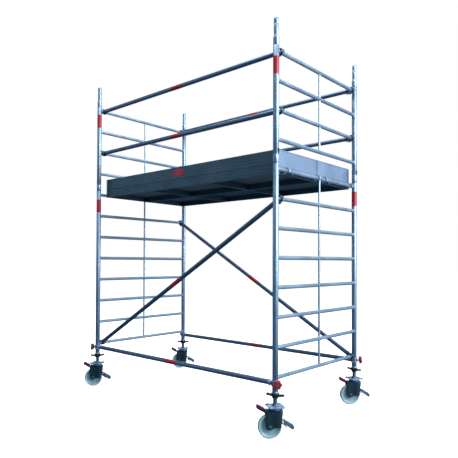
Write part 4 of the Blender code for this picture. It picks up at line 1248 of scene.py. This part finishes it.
def leg_shapes():
    """A castor's top plate with bolts and upper race, and the threaded spindle with collar and kingpin."""
    low, high = 0.2620, 0.2700
    bolts = [(sx, sy) for sx in (-1, 1) for sy in (-1, 1)]
    slots = [arc((sx * BOLT_OFFSET, sy * BOLT_OFFSET), 0.0052, 0, -340, 12) for sx, sy in bolts]
    middle = at((0, 0, (low + high) / 2))
    parts = [plate([rounded(0.140, 0.140, 0.006, 4), *slots], high - low, 0.0010, middle)]
    for sx, sy in bolts:
        x, y = sx * BOLT_OFFSET, sy * BOLT_OFFSET
        base = at((x, y, high)) @ Matrix.Rotation(0.4 * sx + sy, 4, "Z")
        parts.append(washer(0.0105, 0.0050, 0.0014, base))
        parts.append(hexagon(0.0092, 0.0054, base @ at((0, 0, 0.0014))))
        under = at((x, y, low)) @ Matrix.Rotation(math.pi, 4, "X")
        parts.append(hexagon(0.0092, 0.0060, under, 0.004))
        parts.append(moved(thread(0.0048, 0.0005, 0.0014, -0.004, 0.0085, 14, 5), under))
    race = mm((10, 249.4), (48, 249.4), (51.5, 250), (52.8, 251.5), (52.8, 255.5), (50, 260), (48, 262.2),
              (10, 262.2))
    parts.append(lathe(race, 56, closed=True))
    plate_piece = joined(parts)

    collar = mm((18.5, 269.5), (27.2, 269.5), (26.8, 272), (22.8, 279), (20.5, 283.8), (18.5, 284.2))
    kingpin = mm((0, 226.2), (6.8, 226.2), (8, 227.5), (8, 250), (0, 250))
    ripples, radius = 51, 0.0282
    turned = np.radians(7 * np.arange(ripples))
    path = [(radius * math.cos(t), radius * math.sin(t), 0.2712) for t in turned]
    seam = sweep(path, circle(0.0024, 7), Z, True, [1 + 0.16 * math.cos(2.1 * i) for i in range(ripples)])
    screw = thread(0.0190, 0.0016, 0.0080, 0.2830, 0.8000, 32, 8)
    return plate_piece, joined([screw, lathe(collar, 36, closed=True), lathe(kingpin, 24), seam], grain=2)


def nut_shape():
    """The cast adjuster nut: a flared collar with webs, and two wings that rise a little outwards."""
    low, high = 0.3352, 0.3745
    flutes = 8
    body = [(0.0204, low), (0.0268, low)]
    for radius, rise, depth in mm((28.2, 2, 0.4), (29, 10, 0.9), (30.8, 20, 0.9), (33.2, 30, 0.5)):
        body.append((radius, low + rise, depth, flutes))
    body += [(0.0345, high - 0.0060), (0.0345, high - 0.0018)]
    body += [(0.0330, high), (0.0218, high), (0.0204, high - 0.0014)]
    parts = [lathe(body, 64, closed=True)]
    for s in (-1, 1):
        path, scales = [], []
        for i in range(19):
            t = i / 18
            path.append((s * (0.022 + 0.058 * t), 0, 0.3530 + 0.0085 * t))
            end = math.sqrt(max(1 - max(0, (t - 0.84) / 0.165) ** 2, 0.02))
            scales.append((1.04 - 0.10 * math.sin(math.pi * min(t / 0.9, 1))) * end)
        parts.append(sweep(path, circle(0.0112, 20), Z, False, scales))
        web = [(s * 0.026, 0.3400), (s * 0.050, 0.3540), (s * 0.030, 0.3650)]
        parts.append(plate([web if s > 0 else web[::-1]], 0.0060, 0.0015, UPRIGHT))
    return joined(parts, grain=2)


def build_castors():
    """The leg, nut and castor of each corner, from shapes that all four share."""
    wheel, fork, race, axle = wheel_shape(), fork_shape(), lower_race_shape(), axle_shape()
    lever, red, grey, spur = pedal_shapes()
    top_plate, spindle = leg_shapes()
    nut = nut_shape()
    for corner, (side, across, plate_turn, nut_turn) in CORNERS.items():
        post_place = at((side * POST_X, across * POST_Y, 0))
        swivel = post_place @ Matrix.Rotation(CASTOR_HEADING, 4, "Z")
        leg, pedal = f"leg_{corner}", f"pedal_{corner}"
        turned = post_place @ Matrix.Rotation(plate_turn, 4, "Z")
        # The top plate takes the lighter copy of galvanised steel: painted light on its upward face.
        piece(f"castor_plate_{corner}", leg, "lit_galvanised_plate", top_plate, (), turned)
        name = f"adjustable_leg_{corner}"
        piece(name, leg, "galvanised_steel", spindle, [name], turned)
        name = f"adjuster_nut_{corner}"
        piece(name, f"nut_{corner}", "adjuster_iron", nut, [name],
              post_place @ Matrix.Rotation(nut_turn, 4, "Z"))
        name = f"castor_fork_{corner}"
        piece(name, f"fork_{corner}", "fork_steel", fork, [name], swivel)
        name = f"castor_race_{corner}"
        piece(name, f"fork_{corner}", "galvanised_steel", race, (), swivel)
        hub = swivel @ at((-TRAIL, 0, WHEEL_RADIUS)) @ Matrix.Rotation(math.pi / 2, 4, "X")
        name = f"castor_wheel_{corner}"
        piece(name, f"wheel_{corner}", "wheel_nylon", wheel, [name], hub)
        name = f"wheel_axle_{corner}"
        piece(name, f"fork_{corner}", "galvanised_steel", axle, [name], hub)
        name = f"brake_pedal_{corner}"
        piece(name, pedal, "pedal_steel", lever, [name], swivel)
        piece(f"{name}_red_pad", pedal, "pad_red", red, (), swivel)
        piece(f"{name}_grey_pad", pedal, "pad_grey", grey, (), swivel)
        piece(f"{name}_spur", pedal, "galvanised_steel", spur, (), swivel)


def build_post_labels():
    for name, x, y, z in (
        ("upper_front_right", POST_X, -POST_Y, 3.120),
        ("upper_front_left", -POST_X, -POST_Y, 3.120),
        ("lower_front_left", -POST_X, -POST_Y, 2.115),
        ("lower_back_right", POST_X, POST_Y, 2.125),
    ):
        band(f"post_label_{name}", Vector((x, y, z)), Z, POST_RADIUS + 0.0002, POST_LABEL_LENGTH)


# ---- floor, light and camera --------------------------------------------------------------------
def build_stage():
    mesh = bpy.data.meshes.new("floor")
    size = 60.0
    mesh.from_pydata([(x, y, 0) for x, y in rectangle(-size, -size, size, size)], [], [(0, 1, 2, 3)])
    n = Nodes("floor_paint")
    clouds = n.noise(n.solid, 0.6, 4.0, 0.6)
    fine = n.noise(n.solid, 40.0, 3.0, 0.6)
    colour = n.blend(n.ramp(clouds, 0.3, 0.7), (0.86, 0.86, 0.86), (0.90, 0.90, 0.90))
    n.connect(colour, n.ramp(fine, 0.3, 0.7, 0.75, 0.9), fine, 0.05, 0.0005)
    n.shader.inputs["Emission Color"].default_value = (1.0, 1.0, 1.0, 1.0)
    n.shader.inputs["Emission Strength"].default_value = 0.72
    mesh.materials.append(n.material)
    floor = bpy.data.objects.new("floor", mesh)
    bpy.context.scene.collection.objects.link(floor)
    floor.visible_diffuse = False
    floor.visible_glossy = False


def area_light(name, location, target, size, power, colour):
    light = bpy.data.lights.new(name, "AREA")
    light.shape = "RECTANGLE"
    light.size, light.size_y = size
    light.energy = power
    light.color = colour
    obj = bpy.data.objects.new(name, light)
    obj.location = location
    obj.rotation_euler = (Vector(target) - Vector(location)).to_track_quat("-Z", "Y").to_euler()
    bpy.context.scene.collection.objects.link(obj)


def build_light():
    world = bpy.data.worlds.new("studio")
    world.use_nodes = True
    bpy.context.scene.world = world
    tree = world.node_tree
    tree.nodes.clear()
    output = tree.nodes.new("ShaderNodeOutputWorld")
    mix = tree.nodes.new("ShaderNodeMixShader")
    path = tree.nodes.new("ShaderNodeLightPath")
    seen = tree.nodes.new("ShaderNodeBackground")
    seen.inputs["Color"].default_value = (1.0, 1.0, 1.0, 1.0)
    seen.inputs["Strength"].default_value = 1.0
    dome = tree.nodes.new("ShaderNodeBackground")
    coordinates = tree.nodes.new("ShaderNodeTexCoord")
    rise = tree.nodes.new("ShaderNodeMapRange")
    rise.interpolation_type = "SMOOTHSTEP"
    rise.inputs["From Min"].default_value = -0.35
    rise.inputs["From Max"].default_value = 0.85
    lean = tree.nodes.new("ShaderNodeVectorMath")
    lean.operation = "DOT_PRODUCT"
    lean.inputs[1].default_value = (0.45, 0.30, 0.65)
    tree.links.new(coordinates.outputs["Generated"], lean.inputs[0])
    tree.links.new(lean.outputs["Value"], rise.inputs["Value"])
    colours = tree.nodes.new("ShaderNodeMix")
    colours.data_type = "RGBA"
    colours.inputs[6].default_value = (0.085, 0.160, 0.250, 1.0)
    colours.inputs[7].default_value = (0.80, 0.90, 1.0, 1.0)
    tree.links.new(rise.outputs[0], colours.inputs["Factor"])
    tree.links.new(colours.outputs[2], dome.inputs["Color"])
    dome.inputs["Strength"].default_value = 0.75
    tree.links.new(path.outputs["Is Camera Ray"], mix.inputs[0])
    tree.links.new(dome.outputs[0], mix.inputs[1])
    tree.links.new(seen.outputs[0], mix.inputs[2])
    tree.links.new(mix.outputs[0], output.inputs["Surface"])
    area_light("key", (8.0, 0.5, 4.5), (0, 0, 1.6), (5.0, 5.0), 760, (0.96, 0.98, 1.0))
    area_light("top", (0.0, -1.0, 9.0), (0, 0, 0), (7.0, 7.0), 620, (0.98, 0.99, 1.0))
    area_light("fill", (-6.0, -6.5, 4.0), (0, 0, 1.8), (4.0, 4.0), 60, (0.80, 0.90, 1.0))
    area_light("rim", (-6.0, 7.0, 4.0), (0, 0, 1.8), (4.0, 4.0), 90, (0.92, 0.96, 1.0))
    bpy.context.scene.view_settings.view_transform = "Standard"


def build_camera():
    data = bpy.data.cameras.new("camera")
    data.lens = CAMERA_LENS
    data.sensor_width = CAMERA_SENSOR
    data.shift_x, data.shift_y = CAMERA_SHIFT
    data.clip_end = 200.0
    camera = bpy.data.objects.new("camera", data)
    camera.location = CAMERA_PLACE
    camera.rotation_euler = CAMERA_TURN
    bpy.context.scene.collection.objects.link(camera)
    bpy.context.scene.camera = camera


build_camera()
build_stage()
build_light()
build_frames()
build_interlock_clips()
build_rails()
build_base_braces()
build_star_knobs()
build_platforms()
build_hatch()
build_windlocks()
build_toe_boards()
build_castors()
build_post_labels()
